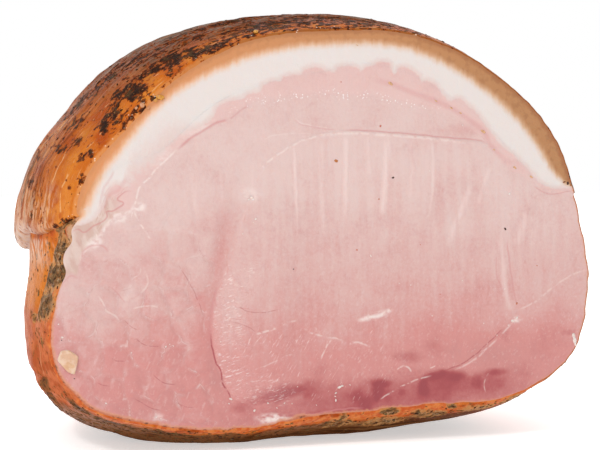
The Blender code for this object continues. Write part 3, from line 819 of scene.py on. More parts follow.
def dress_meat(piece):
    """Lets the cut's marks and relief into a piece's mesh, and what its outside carries."""
    mesh = piece.data
    points = np.empty(3 * len(mesh.vertices))
    mesh.vertices.foreach_get("co", points)
    points = points.reshape(-1, 3) - MIDDLE
    depth = points[:, 1] / MM
    near = np.flatnonzero(depth < 4)
    marks, out = cut_marks(points[near][:, [0, 2]] / MM)
    for name, values in marks.items():
        everywhere = np.full(len(points), 30.0 if name.endswith("beyond") else 0.0)
        everywhere[near] = values
        set_values(mesh, name, everywhere)
    points[near, 1] -= np.maximum(out, -3) * MM * (1 - depth[near] / 4)
    mesh.vertices.foreach_set("co", (points + MIDDLE).ravel())
    along = np.arcsin(np.clip(depth * MM / LENGTH, 0, 1))
    shift = END_SHIFT * np.sin(along) ** 3
    angle = np.degrees(np.arctan2(points[:, 2] + shift, points[:, 0] + shift))
    set_values(mesh, "depth", depth)
    set_values(mesh, "angle", (angle + 90) % 360 - 90)
    stray = 22 * rising(depth, 25, 60)
    wide = soft_noise(points, 0.03, 51) + 0.5 * soft_noise(points, 0.011, 52)
    deep = soft_noise(points, 0.03, 53) + 0.5 * soft_noise(points, 0.011, 54)
    herbs = herb_thickness((angle + 0.5 * stray * wide) % 360, depth + stray * deep)
    set_values(mesh, "herbs", herbs)
    set_values(mesh, "height", (points[:, 2] + MIDDLE_HEIGHT) / MM)
    set_values(mesh, "edge", cap_thickness(angle % 360, along) / MM)
    mesh.update()


def tint(red, green, blue):
    """A colour as it should look in the white studio, which is a little brighter than 1."""
    channels = [channel / 255 for channel in (red, green, blue)]
    return (*[0.775 * ((c + 0.055) / 1.055) ** 2.4 for c in channels], 1.0)


class Value:
    """A number that a material works out at every place. Values add, subtract and multiply."""

    def __init__(self, finish, socket):
        self.finish = finish
        self.socket = socket

    def __add__(self, other):
        return self.finish.maths("ADD", self, other)

    def __sub__(self, other):
        return self.finish.maths("SUBTRACT", self, other)

    def __rsub__(self, other):
        return self.finish.maths("SUBTRACT", other, self)

    def __mul__(self, other):
        return self.finish.maths("MULTIPLY", self, other)

    def __abs__(self):
        return self.finish.maths("ABSOLUTE", self)

    __radd__ = __add__


class Finish:
    """A material made of coats, each laid over the last where its mask nears 1."""

    def __init__(self, name, colour):
        self.material = bpy.data.materials.new(name)
        self.material.use_nodes = True
        self.nodes = self.material.node_tree.nodes
        self.links = self.material.node_tree.links
        self.shader = self.nodes["Principled BSDF"]
        self.colour = colour
        self.normal = None
        coordinates = Value(self, self.nodes.new("ShaderNodeTexCoord").outputs["Object"])
        self.place = self.vector("MULTIPLY", coordinates, (1000, 1000, 1000))

    def feed(self, socket, value):
        """Links a worked-out value to a socket, or sets the socket to a plain one."""
        if isinstance(value, Value):
            self.links.new(value.socket, socket)
        else:
            socket.default_value = value

    def maths(self, operation, *values):
        return self.worked_out("ShaderNodeMath", operation, values)

    def vector(self, operation, *values):
        return self.worked_out("ShaderNodeVectorMath", operation, values)

    def worked_out(self, kind, operation, values):
        node = self.nodes.new(kind)
        node.operation = operation
        for socket, value in zip(node.inputs, values):
            self.feed(socket, value)
        return Value(self, node.outputs[0])

    def marked(self, name):
        """A value that the mesh carries under this name."""
        node = self.nodes.new("ShaderNodeAttribute")
        node.attribute_name = name
        return Value(self, node.outputs["Fac"])

    def noise(self, size, detail=2.0, stretch=(1, 1, 1), turn=0.0, rough=0.5):
        """Noise from 0 to 1, with swells of this size in millimetres; turn is about Y."""
        place = self.place
        if turn:
            spin = self.nodes.new("ShaderNodeVectorRotate")
            spin.rotation_type = "Y_AXIS"
            spin.inputs["Angle"].default_value = math.radians(turn)
            self.feed(spin.inputs["Vector"], place)
            place = Value(self, spin.outputs[0])
        if stretch != (1, 1, 1):
            place = self.vector("DIVIDE", place, stretch)
        node = self.nodes.new("ShaderNodeTexNoise")
        node.inputs["Scale"].default_value = 1 / size
        node.inputs["Detail"].default_value = detail
        node.inputs["Roughness"].default_value = rough
        self.feed(node.inputs["Vector"], place)
        return Value(self, node.outputs["Fac"])

    def dots(self, size):
        """Distance from the nearest of many dots this many millimetres apart, 0 to about 1."""
        node = self.nodes.new("ShaderNodeTexVoronoi")
        node.inputs["Scale"].default_value = 1 / size
        self.feed(node.inputs["Vector"], self.place)
        return Value(self, node.outputs["Distance"])

    def mask(self, value, low, high, top=1.0):
        """0 where the value is low, rising smoothly to the top where it is high."""
        node = self.nodes.new("ShaderNodeMapRange")
        node.interpolation_type = "SMOOTHSTEP"
        for socket, number in zip(node.inputs, (value, low, high, 0.0, top)):
            self.feed(socket, number)
        return Value(self, node.outputs[0])

    def between(self, value, low, full, fading, gone):
        """1 from full to fading, falling smoothly to 0 at low and at gone."""
        return self.mask(value, low, full) * self.mask(value, gone, fading)

    def line(self, name, soft):
        """The mask of one of the cut's kinds of line."""
        across = self.mask(abs(self.marked(name)), 1 + soft, 1 - soft)
        close = self.mask(self.marked(name + "_beyond"), 1.6, 0.8)
        return across * close * self.marked(name + "_power")

    def blend(self, first, second, share):
        """The first colour mixed with this share of the second."""
        node = self.nodes.new("ShaderNodeMix")
        node.data_type = "RGBA"
        self.feed(node.inputs[0], share)
        self.feed(node.inputs[6], first)
        self.feed(node.inputs[7], second)
        return Value(self, node.outputs[2])

    def coat(self, colour, mask):
        """Lays a colour over the coats so far, where the mask nears 1."""
        self.colour = self.blend(self.colour, colour, mask)

    def emboss(self, height, depth):
        """Small relief: depth is how many millimetres the height's 0 to 1 stands for."""
        node = self.nodes.new("ShaderNodeBump")
        node.inputs["Distance"].default_value = depth * MM
        self.feed(node.inputs["Height"], height)
        if self.normal:
            self.feed(node.inputs["Normal"], self.normal)
        self.normal = Value(self, node.outputs[0])

    def dry(self, **sockets):
        """Ends the material: the colour and relief go in, and these sockets are set."""
        self.feed(self.shader.inputs["Base Color"], self.colour)
        if self.normal:
            self.feed(self.shader.inputs["Normal"], self.normal)
        for name, value in sockets.items():
            self.feed(self.shader.inputs[name.replace("_", " ")], value)
        return self.material


def pink_coats(cut, clouds, grain):
    """The lean's pinks: deeper low down, along the topside's fibres and in small mottles."""
    within = cut.mask(cut.marked("topside"), -1.0, 3.0)
    fibres = cut.noise(2.0, 3, stretch=(1, 1, 9)) - 0.5
    upper = cut.mask(cut.marked("height"), 58, 92)
    bundles = cut.noise(4.2, 2, stretch=(1, 1, 12), turn=4) - 0.5
    mottles = cut.noise(5.5, 3, rough=0.6) - 0.5
    pink = cut.marked("pinkness") + clouds * 0.5 + fibres * within * 0.45 + grain * 0.5
    pink += cut.marked("lobule_tone") * 0.09 + bundles * within * upper * 0.6
    pink += mottles * cut.marked("lobules") * 0.62
    cut.coat(tint(225, 180, 174), cut.mask(pink, -0.05, 0.5))
    cut.coat(tint(216, 134, 129), cut.mask(pink, 0.35, 1.08))
    cut.coat(tint(203, 127, 123), cut.mask(pink, 1.0, 1.5))
    flecks = cut.mask(cut.noise(0.9, 3, stretch=(1, 1, 1.6), turn=-30, rough=0.6), 0.57, 0.68)
    cut.coat(tint(238, 208, 202), flecks * 0.22)
    wisps = cut.mask(cut.noise(3.2, 3, stretch=(1, 1, 2), turn=-14), 0.52, 0.74)
    cut.coat(tint(236, 202, 196), wisps * cut.marked("lobules") * 0.26)
    pricks = cut.mask(cut.noise(1.4, 2, stretch=(1, 1, 2.2)), 0.4, 0.3)
    cut.coat(tint(208, 136, 132), pricks * cut.mask(pink, 0.1, 0.7) * 0.3)


def lobule_coats(cut):
    """The seams between the left muscle's lobules: pale, with painted shade along each lobule's
    lower edge and a painted highlight along its left edge.
    """
    near_edge = cut.mask(cut.marked("lobule_gap"), 1.8, 0.1) * cut.marked("lobules")
    turn = cut.marked("lobule_turn")
    broken = cut.mask(cut.noise(4.2, 2), 0.46, 0.62)
    cut.coat(tint(230, 198, 192), near_edge * broken * 0.26)
    # Painted shade below each lobule.
    cut.coat(tint(196, 110, 106), cut.between(turn, 120, 150, 195, 215) * near_edge * broken * 0.4)
    # Painted highlight at each lobule's left, as if lit from there.
    cut.coat(tint(240, 216, 210), cut.between(turn, 195, 225, 265, 290) * near_edge * broken * 0.46)


def rim_coats(cut):
    """The paler lean outside the thin seam, and the cream swirl of fat at its left end."""
    rim = cut.marked("rim")
    cut.coat(tint(228, 190, 184), cut.mask(rim, -0.8, 1.6) * 0.6)
    swirl = cut.mask(cut.noise(2.4, 3, stretch=(1, 1, 3.5), turn=24), 0.42, 0.62)
    cream = cut.blend(tint(210, 177, 164), tint(221, 197, 186), swirl)
    cut.coat(cream, cut.mask(rim, -0.5, 1.0) * cut.marked("cream") * 0.95)


def rose_coats(cut, clouds, grain):
    """The deep rose patches of the darker muscles along the bottom."""
    rose = cut.marked("rose") + grain * 0.35 + clouds * 0.5 + (cut.noise(3.4, 3) - 0.5) * 0.5
    cut.coat(tint(174, 80, 82), cut.mask(rose, -0.05, 1.15))
    cut.coat(tint(158, 66, 72), cut.mask(rose, 0.8, 1.45))


def wet_coats(cut):
    """Knife streaks, pale threads, painted sheen, highlights and shade on the topside's wet creased
    fibres, and the soft white places, partly painted highlights.
    """
    silver = cut.line("streak", 0.9) * cut.mask(cut.noise(1.4, 4, stretch=(1, 1, 9)), 0.28, 0.6)
    cut.coat(tint(240, 217, 211), silver * 0.62)
    thread = cut.mask(cut.noise(0.6, 3, stretch=(1, 1, 5), turn=-32), 0.57, 0.7)
    sparse = cut.mask(cut.noise(6, 3), 0.4, 0.62)
    cut.coat(tint(238, 208, 202), thread * cut.marked("slanted") * sparse * 0.6)
    wet = cut.marked("wet")
    # Painted sheen over the topside's wet left edge.
    cut.coat(tint(236, 200, 194), wet * 0.14)
    # Painted highlights on the wet creases.
    creases = cut.mask(cut.noise(0.62, 4, stretch=(4, 1, 1), turn=16, rough=0.6), 0.54, 0.66)
    cut.coat(tint(248, 232, 227), creases * wet * cut.mask(cut.noise(5, 3), 0.34, 0.56) * 0.6)
    # Painted shade between the wet creases.
    shadows = cut.mask(cut.noise(0.9, 3, stretch=(7, 1, 1), turn=-14), 0.4, 0.31)
    cut.coat(tint(206, 132, 128), shadows * wet * 0.4)
    # The soft white places: white fat, and painted highlights where the cut is wet.
    glare = cut.marked("white") * cut.mask(cut.noise(1.6, 4, stretch=(1.6, 1, 1)), 0.3, 0.62)
    cut.coat(tint(246, 232, 226), glare)


def fat_coats(cut):
    """The white fat: softly pink where it fades into the lean, with a few creamy veins."""
    fat = cut.marked("fat") + (cut.noise(1.3, 4, rough=0.6) - 0.5) * 1.3 + (cut.noise(3.4, 2) - 0.5)
    cut.coat(tint(225, 203, 197), cut.mask(fat, -0.6, 0.3))
    cut.coat(tint(229, 218, 213), cut.mask(fat, 0.0, 2.2))
    veins = cut.mask(cut.noise(1.1, 3, stretch=(1, 1, 5), turn=38), 0.62, 0.72)
    cut.coat(tint(232, 210, 198), veins * cut.mask(fat, 0.5, 2) * 0.18)


def smoked_band_coats(cut):
    """The fat that the smoke coloured under the rind: tan, browner towards the right."""
    band = cut.marked("band") + (cut.noise(2.6, 3) - 0.5) * 1.2
    band += (cut.noise(1.5, 3, stretch=(1, 1, 6)) - 0.5) * 1.8
    brown = cut.marked("brown")
    tan = cut.blend(tint(236, 190, 156), tint(216, 174, 138), brown)
    deep_tan = cut.blend(tint(218, 146, 92), tint(184, 130, 84), brown)
    cut.coat(tan, cut.mask(band, -1.6, 1.6))
    cut.coat(deep_tan, cut.mask(band, 0.0, 2.8))
    blotches = cut.mask(cut.noise(3.0, 4), 0.52, 0.36)
    cut.coat(tint(160, 106, 66), blotches * cut.mask(band, 1, 3) * brown * 0.5)
    outermost = cut.marked("skin") + (cut.noise(1.6, 4, rough=0.6) - 0.5) * 2.4
    outermost = cut.mask(outermost, 1.9, 0.4) * cut.mask(band, 0.5, 3)
    cut.coat(tint(166, 104, 62), outermost * (0.25 + brown * 0.75) * 0.8)


def line_coats(cut):
    """The seams and cracks that were traced on the cut, and the painted glints in a row along the
    thin seam.
    """
    frayed = cut.mask(cut.noise(1.8, 3), 0.36, 0.56)
    # Pale lines, among them the left muscle's dashes of painted highlight.
    cut.coat(tint(240, 224, 217), cut.line("pale", 1.0) * frayed * 0.95)
    cut.coat(tint(208, 136, 134), cut.line("line", 0.9) * 0.85)
    # Dark cracks, among them the arcs of painted shade under the left muscle's lobules.
    cut.coat(tint(170, 74, 78), cut.line("hair", 0.9) * cut.mask(cut.noise(1.2, 3), 0.3, 0.5))
    # Painted glints in a row along the thin seam.
    sparks = cut.mask(cut.dots(0.9), 0.36, 0.16) * cut.mask(cut.noise(3, 2), 0.4, 0.56)
    cut.coat(tint(250, 244, 242), sparks * cut.marked("dots"))


def cut_crust_coats(cut):
    """The crust seen edge on, as a thin uneven brown rim round the bare lean."""
    edge = cut.marked("cut_rim") + (cut.noise(2.6, 4) - 0.5) * 1.7 + (cut.noise(0.9, 2) - 0.5) * 0.8
    cut.coat(tint(214, 148, 112), cut.mask(edge, -0.5, 0.5, 0.75))
    cut.coat(tint(186, 98, 54), cut.mask(edge, 0.3, 1.1) * 0.75)
    herbs = cut.mask(cut.noise(2.2, 4), 0.53, 0.6)
    cut.coat(tint(96, 58, 36), cut.mask(edge, 0.5, 1.0) * herbs * 0.8)


def cut_face_finish():
    """Cooked meat and fat, fresh from the knife: matt within, wet where the fibres show."""
    cut = Finish("cut_face", tint(232, 201, 195))
    clouds = cut.noise(12, 4) - 0.5
    grain = cut.noise(1.1, 4, rough=0.7) - 0.5
    pink_coats(cut, clouds, grain)
    lobule_coats(cut)
    cut.coat(tint(186, 168, 162), 0.2)
    rim_coats(cut)
    rose_coats(cut, clouds, grain)
    wet_coats(cut)
    fat_coats(cut)
    smoked_band_coats(cut)
    line_coats(cut)
    cut_crust_coats(cut)
    cut.emboss(cut.noise(0.5, 3), 0.07)
    cut.emboss(cut.noise(1.8, 3, stretch=(1, 1, 3)), 0.1)
    gloss = cut.mask(cut.noise(1.6, 3), 0.3, 0.75)
    return cut.dry(
        Roughness=0.46 - gloss * 0.16 - cut.marked("wet") * 0.14, Specular_IOR_Level=0.32,
        Subsurface_Weight=0.2, Subsurface_Scale=0.002, Subsurface_Radius=(1.0, 0.45, 0.3),
        Coat_Weight=0.12, Coat_Roughness=0.2,
    )


def smoke_coats(crust, left_end, low_left, ridges, mottle):
    """The smoked orange, yellower at the left end, salmon under it, with ridges, and pale painted
    highlights on the wrinkles.
    """
    patch = crust.noise(9, 3)
    crust.coat(tint(214, 116, 44), crust.mask(patch, 0.48, 0.66))
    crust.coat(tint(162, 70, 26), crust.mask(patch, 0.48, 0.34))
    crust.coat(tint(218, 132, 52), left_end * 0.75)
    smooth = crust.mask(crust.noise(6, 3, stretch=(1, 2.4, 1)), 0.42, 0.6)
    crust.coat(crust.blend(tint(176, 88, 54), tint(206, 116, 78), smooth), low_left * 0.9)
    rugged = 1 - crust.between(crust.marked("angle"), 181, 186, 216, 228) * 0.8
    crust.coat(tint(222, 134, 60), crust.mask(ridges, 0.52, 0.64) * rugged * 0.5)
    crust.coat(tint(136, 62, 24), crust.mask(ridges, 0.47, 0.36) * rugged * 0.6)
    # Pale painted highlights on the crust's wrinkles, most at the left end.
    wrinkles = crust.mask(crust.noise(1.1, 3, stretch=(7, 1, 7)), 0.62, 0.7)
    crust.coat(tint(232, 190, 156), wrinkles * (0.1 + left_end * 0.35))
    crust.coat(tint(146, 68, 28), crust.mask(mottle, 0.44, 0.34, 0.4))
    crust.emboss(mottle, 0.3)
    crust.emboss(ridges * rugged, 0.5)


def underside_coat(crust, low, low_left, ridges):
    """The drab brown of the underside, which starts a little way behind the cut."""
    behind = crust.mask(crust.marked("depth") + crust.noise(3, 3) * 5, 6.5, 9.5)
    drab = crust.blend(tint(60, 40, 24), tint(118, 84, 54), crust.mask(ridges, 0.42, 0.66))
    crust.coat(drab, low * behind * (1 - low_left) * 0.9)


def front_coats(crust, front, pleats, mottle):
    """The crust's first few millimetres: bright where it was trimmed, pale in the tied pleats."""
    depth = crust.marked("depth")
    angle = crust.marked("angle")
    broken = crust.mask(crust.noise(6, 4, rough=0.6), 0.38, 0.48)
    orange = crust.blend(tint(204, 98, 52), tint(224, 136, 76), crust.mask(mottle, 0.4, 0.6))
    crust.coat(orange, front * broken * 0.85)
    wander = depth + (crust.noise(6, 2) - 0.5) * 6
    ridge = crust.mask(abs(wander - 17.0), 0.9, 0.3) * crust.between(angle, 196, 199, 206, 209)
    crust.coat(tint(222, 154, 112), ridge * 0.45)
    pale = crust.mask(depth + crust.noise(2.4, 3) * 4, 4.6, 2.4)
    crust.coat(tint(208, 170, 136), pale * pleats * 0.75)
    right = crust.between(angle, -42, -32, 12, 30)
    crust.coat(tint(176, 112, 70), right * crust.mask(depth, 3, 1) * 0.8)


def herb_bed_coats(crust, herbs, front, left_bed):
    """Where wet herbs lay and stained the crust: drab, but greyer and mossy at the left."""
    ragged = crust.noise(1.7, 3, stretch=(1, 2.6, 1), rough=0.6) - 0.5
    soak = herbs + (crust.noise(4, 4) - 0.5) * 1.2
    soak += ragged * left_bed * 1.8 - front * (1 - left_bed) * 0.6
    bed = crust.blend(tint(138, 90, 58), tint(190, 138, 84), left_bed)
    crust.coat(bed, crust.mask(soak, 0.35, 0.9, 0.85))
    core = crust.blend(tint(80, 56, 38), tint(136, 105, 75), left_bed)
    crust.coat(core, crust.mask(soak, 0.95, 1.4, 0.85))
    mossy = left_bed * crust.mask(soak, 0.8, 1.3)
    warm = crust.mask(crust.noise(2.6, 3, stretch=(1, 2.4, 1)), 0.48, 0.58)
    crust.coat(tint(172, 112, 62), warm * mossy * 0.7)
    clots = crust.mask(crust.noise(1.5, 4, stretch=(1, 2.8, 1), rough=0.62), 0.5, 0.6)
    crust.coat(tint(62, 50, 34), clots * mossy * 0.8)
    specks = crust.mask(crust.noise(0.7, 3, stretch=(1, 2.8, 1)), 0.58, 0.66)
    crust.coat(tint(196, 178, 146), specks * left_bed * crust.mask(herbs, 0.7, 1.3) * 0.5)


def leaf_coats(crust, lie, left_bed):
    """The leaves themselves, olive and dark brown, where the lie of the herbs is high."""
    crust.coat(tint(140, 84, 44), crust.mask(lie, 0.58, 0.64, 0.6))
    olive = crust.mask(crust.noise(1.6, 3), 0.42, 0.56)
    leaf = crust.blend(tint(70, 50, 34), tint(116, 92, 62), olive)
    crust.coat(leaf, crust.mask(lie, 0.63, 0.72, 0.85))
    crust.coat(tint(52, 38, 28), crust.mask(lie, 0.73, 0.82, 0.7))
    bits = crust.mask(crust.noise(0.9, 2), 0.6, 0.67)
    crust.coat(tint(186, 156, 118), bits * crust.mask(lie, 0.58, 0.64) * left_bed * 0.4)
    crust.emboss(lie, 0.7)


def crust_finish():
    """The lean's browned outside: smoked orange, darker below, with olive herbs pressed in."""
    crust = Finish("browned_crust", tint(190, 84, 28))
    depth = crust.marked("depth")
    angle = crust.marked("angle")
    left_end = crust.between(angle, 181, 186, 194, 200)
    sway = angle + (crust.noise(8, 3) - 0.5) * 12
    low_left = crust.between(sway, 192, 202, 212, 222) * crust.mask(depth + sway * 0.3, 136, 92)
    low = crust.mask(crust.marked("height"), 16, 5)
    ridges = crust.noise(3.4, 4, stretch=(9, 1, 9), rough=0.55)
    mottle = crust.noise(2.0, 4, rough=0.6)
    pleats = crust.between(angle, 176, 178, 190, 193)
    front = crust.mask(depth + crust.noise(3, 3) * 5, 7.2, 4.6) * (1 - pleats)
    left_bed = crust.mask(angle, 205, 199)
    herbs = crust.marked("herbs")
    lie = (crust.noise(5, 2) - 0.5) * 0.3 + crust.noise(2.0, 4, stretch=(1.2, 1.3, 1.2), rough=0.56)
    lie += herbs * 0.1 - front * 0.05
    smoke_coats(crust, left_end, low_left, ridges, mottle)
    underside_coat(crust, low, low_left, ridges)
    front_coats(crust, front, pleats, mottle)
    herb_bed_coats(crust, herbs, front, left_bed)
    leaf_coats(crust, lie, left_bed)
    folds = crust.mask(crust.noise(1.9, 4, stretch=(3, 1, 3)), 0.44, 0.56)
    fringe = crust.between(angle, 182.4, 183.4, 185, 190) * crust.between(depth, 12, 20, 38, 50)
    crust.coat(tint(232, 204, 184), fringe * folds * 0.6)
    shine = (1 - low) * (1 - low_left) * (1 - left_bed * 0.6)
    return crust.dry(
        Roughness=0.36 + crust.mask(lie, 0.6, 0.66) * 0.34,
        Specular_IOR_Level=shine * 0.055, Specular_Tint=(1.0, 0.75, 0.5, 1.0),
        Coat_Weight=shine * 0.03, Coat_Roughness=0.08,
        Subsurface_Weight=0.08, Subsurface_Scale=0.002, Subsurface_Radius=(1.0, 0.4, 0.2),
    )


whole_edge = np.concatenate([inner_form[0], crust_form[0][1:]])
face_grid = whole_edge[None] * np.linspace(0, 1, FACE_RINGS + 1)[:, None, None]
cut_face = cut_face_finish()
lean = meat_mesh(
    "ham_lean",
    [(face_grid, 0, fine_faces), (inner_form, 0, hidden_faces), (crust_form, 1, fine_faces)],
    [cut_face, crust_finish()],
)
dress_meat(lean)
upright = np.array([vertex.normal.z for vertex in lean.data.vertices])
set_values(lean.data, "under", np.clip(-upright, 0, 1))
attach(lean, "root")
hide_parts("lean")

# ---- The fat cap and its rind ---------------------------------------------------------------
# The pig's back fat, left on over the lean, and the skin that covers it. The skin was smoked
# and roasted to a glossy orange brown; its edge stands up where it ends on the bare meat.


def rind_colour_coats(rind, clouds, far_left, over, back):
    """The glazed orange by the cut, browner behind it, and grey brown over the top, back from the
    cut.
    """
    depth = rind.marked("depth")
    rind.coat(tint(218, 130, 44), rind.mask(clouds, 0.5, 0.68))
    rind.coat(tint(180, 78, 16), rind.mask(clouds, 0.48, 0.34))
    low_end = rind.mask(rind.marked("angle"), 166, 176) * rind.mask(depth, 26, 12)
    rind.coat(tint(228, 142, 58), low_end * rind.mask(rind.noise(5, 3), 0.36, 0.6) * 0.7)
    rind.coat(tint(146, 78, 34), rind.mask(depth, 5, 12) * 0.16)
    rind.coat(tint(142, 64, 20), back * (0.7 - far_left * 0.45))
    rind.coat(tint(130, 74, 42), over * 0.8)
    rind.coat(tint(114, 100, 88), over * rind.between(depth, 8, 20, 50, 90) * 0.62)


def rind_streak_coats(rind, far_left, over, back, sheen_streaks):
    """Dark streaks round the sides, where the net drew the skin, scorched spots, and pale streaks of
    painted sheen over the top, round the sides and at the far left.
    """
    depth = rind.marked("depth")
    sides = rind.mask(depth, 142, 112)
    streaks = rind.noise(1.7, 5, stretch=(9, 1, 9), rough=0.6)
    dark = (0.75 - far_left * 0.35) * sides
    rind.coat(tint(80, 40, 20), rind.mask(streaks, 0.48, 0.36) * rind.mask(depth, 8, 24) * dark)
    soots = rind.mask(rind.noise(1.6, 5, stretch=(7, 1, 7), rough=0.6), 0.5, 0.56)
    rind.coat(tint(58, 44, 36), soots * over * sides * 0.7)
    scorch = rind.mask(rind.noise(9, 5, rough=0.62), 0.5, 0.36)
    rind.coat(tint(92, 48, 24), scorch * (1 - sides) * 0.7)
    # Pale streaks of painted sheen over the top.
    rind.coat(tint(186, 156, 134), sheen_streaks * 0.3)
    bright = (0.22 + far_left * 0.4) * sides
    # Pale streaks of painted sheen round the sides, most at the far left.
    rind.coat(tint(226, 170, 128), rind.mask(streaks, 0.52, 0.62) * back * bright)
    sheen_strands = 0.3 + rind.mask(streaks, 0.42, 0.54, 0.7)
    lower = rind.mask(rind.marked("angle"), 158, 172)
    # A pale painted sheen with streaks at the far left.
    rind.coat(tint(204, 150, 118), far_left * lower * sheen_strands * 0.35)
    soot = rind.mask(rind.noise(3.0, 2, stretch=(4, 1, 4)), 0.56, 0.64)
    rind.coat(tint(96, 72, 56), soot * far_left * 0.75)


def rind_edge_coats(rind, clouds):
    """The pale frayed edge, the pleats above it, fine hairs, two cords' marks and the cut rim."""
    depth = rind.marked("depth")
    angle = rind.marked("angle")
    edge = rind.marked("edge")
    fringe = rind.mask(edge, 1.8, 0.4) * rind.mask(angle, 178, 181)
    fringe *= rind.between(depth, 16, 30, 84, 100)
    rind.coat(tint(228, 206, 192), fringe * rind.mask(rind.noise(3, 3), 0.3, 0.5) * 0.8)
    pleats = rind.mask(edge, 8, 1) * rind.mask(angle, 168, 174) * rind.mask(depth, 7, 13)
    pleats *= rind.mask(rind.noise(1.5, 4, stretch=(4, 1, 4)), 0.46, 0.56)
    rind.coat(tint(226, 178, 144), pleats * 0.6)
    hairs = rind.mask(rind.noise(0.7, 2, stretch=(16, 1, 16)), 0.64, 0.72)
    rind.coat(tint(232, 176, 122), hairs * rind.mask(clouds, 0.42, 0.6) * 0.5)
    wander = depth + (rind.noise(14, 2) - 0.5) * 9
    gaps = rind.mask(rind.noise(5, 2), 0.46, 0.56)
    for at in (6.5, 12.5):
        rind.coat(tint(236, 184, 132), rind.mask(abs(wander - at), 0.35, 0.1) * gaps * 0.6)
    rim = rind.mask(depth + rind.noise(1.6, 2) * 1.2, 1.8, 0.8)
    rim_colour = rind.blend(tint(150, 92, 48), tint(222, 146, 84), rind.mask(angle, 100, 150))
    rind.coat(rim_colour, rim * 0.8)


def rind_herb_coats(rind, lie):
    """Herbs and pepper in the glaze, from a brown stain to nearly black, and painted glints by the
    cut.
    """
    rind.coat(tint(168, 78, 18), rind.mask(lie, 0.55, 0.6, 0.85))
    rind.coat(tint(112, 48, 14), rind.mask(lie, 0.59, 0.64))
    rind.coat(tint(66, 32, 16), rind.mask(lie, 0.64, 0.7))
    rind.coat(tint(36, 22, 15), rind.mask(lie, 0.72, 0.79, 0.8))
    olive = rind.mask(rind.noise(6, 3), 0.52, 0.62) * rind.mask(lie, 0.62, 0.68)
    rind.coat(tint(92, 68, 40), olive * 0.5)
    crumbs = rind.mask(rind.noise(0.8, 2), 0.62, 0.7) * rind.mask(lie, 0.57, 0.62)
    rind.coat(tint(186, 124, 70), crumbs * 0.6)
    # Painted glints near the cut.
    glints = rind.mask(rind.dots(1.5), 0.26, 0.12) * rind.mask(rind.noise(5, 2), 0.48, 0.58)
    rind.coat(tint(248, 226, 202), glints * rind.mask(rind.marked("depth"), 3.4, 1.4) * 0.8)


def rind_finish():
    """Smoked and glazed skin: glossy orange in front, duller and browner over the top."""
    rind = Finish("rind", tint(202, 104, 26))
    depth = rind.marked("depth")
    angle = rind.marked("angle")
    clouds = rind.noise(12, 4)
    back = rind.mask(depth, 12, 30)
    far_left = rind.mask(angle, 146, 162) * rind.between(depth, 18, 34, 70, 100)
    over = rind.mask(angle, 158, 128) * rind.mask(angle, -8, 40)
    over *= rind.mask(depth + (clouds - 0.5) * 20, 4, 14)
    # Pale streaks of painted sheen over the top; the coat shines there too.
    sheen_streaks = rind.mask(rind.noise(0.8, 4, stretch=(7, 1, 7), rough=0.6), 0.52, 0.62)
    sheen_streaks *= over * rind.between(depth, 8, 20, 34, 66)
    lie = (rind.noise(5, 2) - 0.5) * 0.35 + rind.noise(1.6, 6, stretch=(1.5, 1, 1.5), rough=0.64)
    lie += rind.marked("herbs") * 0.15
    lie -= rind.mask(angle, 156, 166) * rind.mask(depth, 20, 12) * 0.06
    lie -= far_left * rind.mask(angle, 158, 168) * 0.07
    rind_colour_coats(rind, clouds, far_left, over, back)
    rind_streak_coats(rind, far_left, over, back, sheen_streaks)
    rind_edge_coats(rind, clouds)
    rind_herb_coats(rind, lie)
    rind.emboss(rind.noise(1.0, 3, stretch=(3, 1, 3)), 0.28)
    rind.emboss(lie, 0.6)
    rough = 0.26 + rind.mask(lie, 0.6, 0.66) * 0.2 + rind.mask(rind.noise(4, 3), 0.3, 0.7) * 0.1
    return rind.dry(
        Roughness=rough, Specular_IOR_Level=(1 - over) * 0.055, Specular_Tint=(1.0, 0.75, 0.5, 1.0),
        Coat_Weight=0.03 + sheen_streaks * 0.3, Coat_Roughness=0.1,
        Subsurface_Weight=0.08, Subsurface_Scale=0.002, Subsurface_Radius=(1.0, 0.45, 0.2),
    )


fat_shares = np.linspace(0, 1, FAT_RINGS + 1)[:, None, None]
fat_grid = fat_inside[0] + (rind_form[0] - fat_inside[0]) * fat_shares
cap = meat_mesh(
    "ham_fat_cap",
    [(fat_grid, 0, fine_faces), (rind_form, 1, fine_faces), (fat_inside, 0, hidden_faces)],
    [cut_face, rind_finish()],
)
dress_meat(cap)
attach(cap, "root")
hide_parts("fat_cap")

# ---- The herbs and cracked pepper -----------------------------------------------------------
# Dried leaf crumbs and cracked peppercorns, rubbed on the wet rind and crust before smoking,
# and stuck fast in the glaze. Each is a small lump, pressed a third of its height in.


def solid_tree(piece):
    """A piece's surface, for straight lines to hit."""
    return BVHTree.FromObject(piece, bpy.context.evaluated_depsgraph_get())


bpy.context.view_layer.update()
outside_trees = [solid_tree(lean), solid_tree(cap)]


def first_hit(start, way):
    """The nearest place that a straight line from here meets the meat, and which way it faces."""
    hits = [tree.ray_cast(Vector(start), Vector(way)) for tree in outside_trees]
    hits = [hit for hit in hits if hit[0] is not None]
    return min(hits, key=lambda hit: hit[3])[:2] if hits else None


def on_skin(angle, depth):
    """The place on the outside at this angle, and this many millimetres behind the cut."""
    out = np.array([math.cos(math.radians(angle)), 0.0, math.sin(math.radians(angle))])
    return first_hit(MIDDLE + 0.2 * out + [0, depth * MM, 0], -out)


def on_cut(x, z):
    """The place on the cut, this many millimetres right of the middle and above it."""
    return first_hit(MIDDLE + [x * MM, -0.1, z * MM], (0, 1, 0))


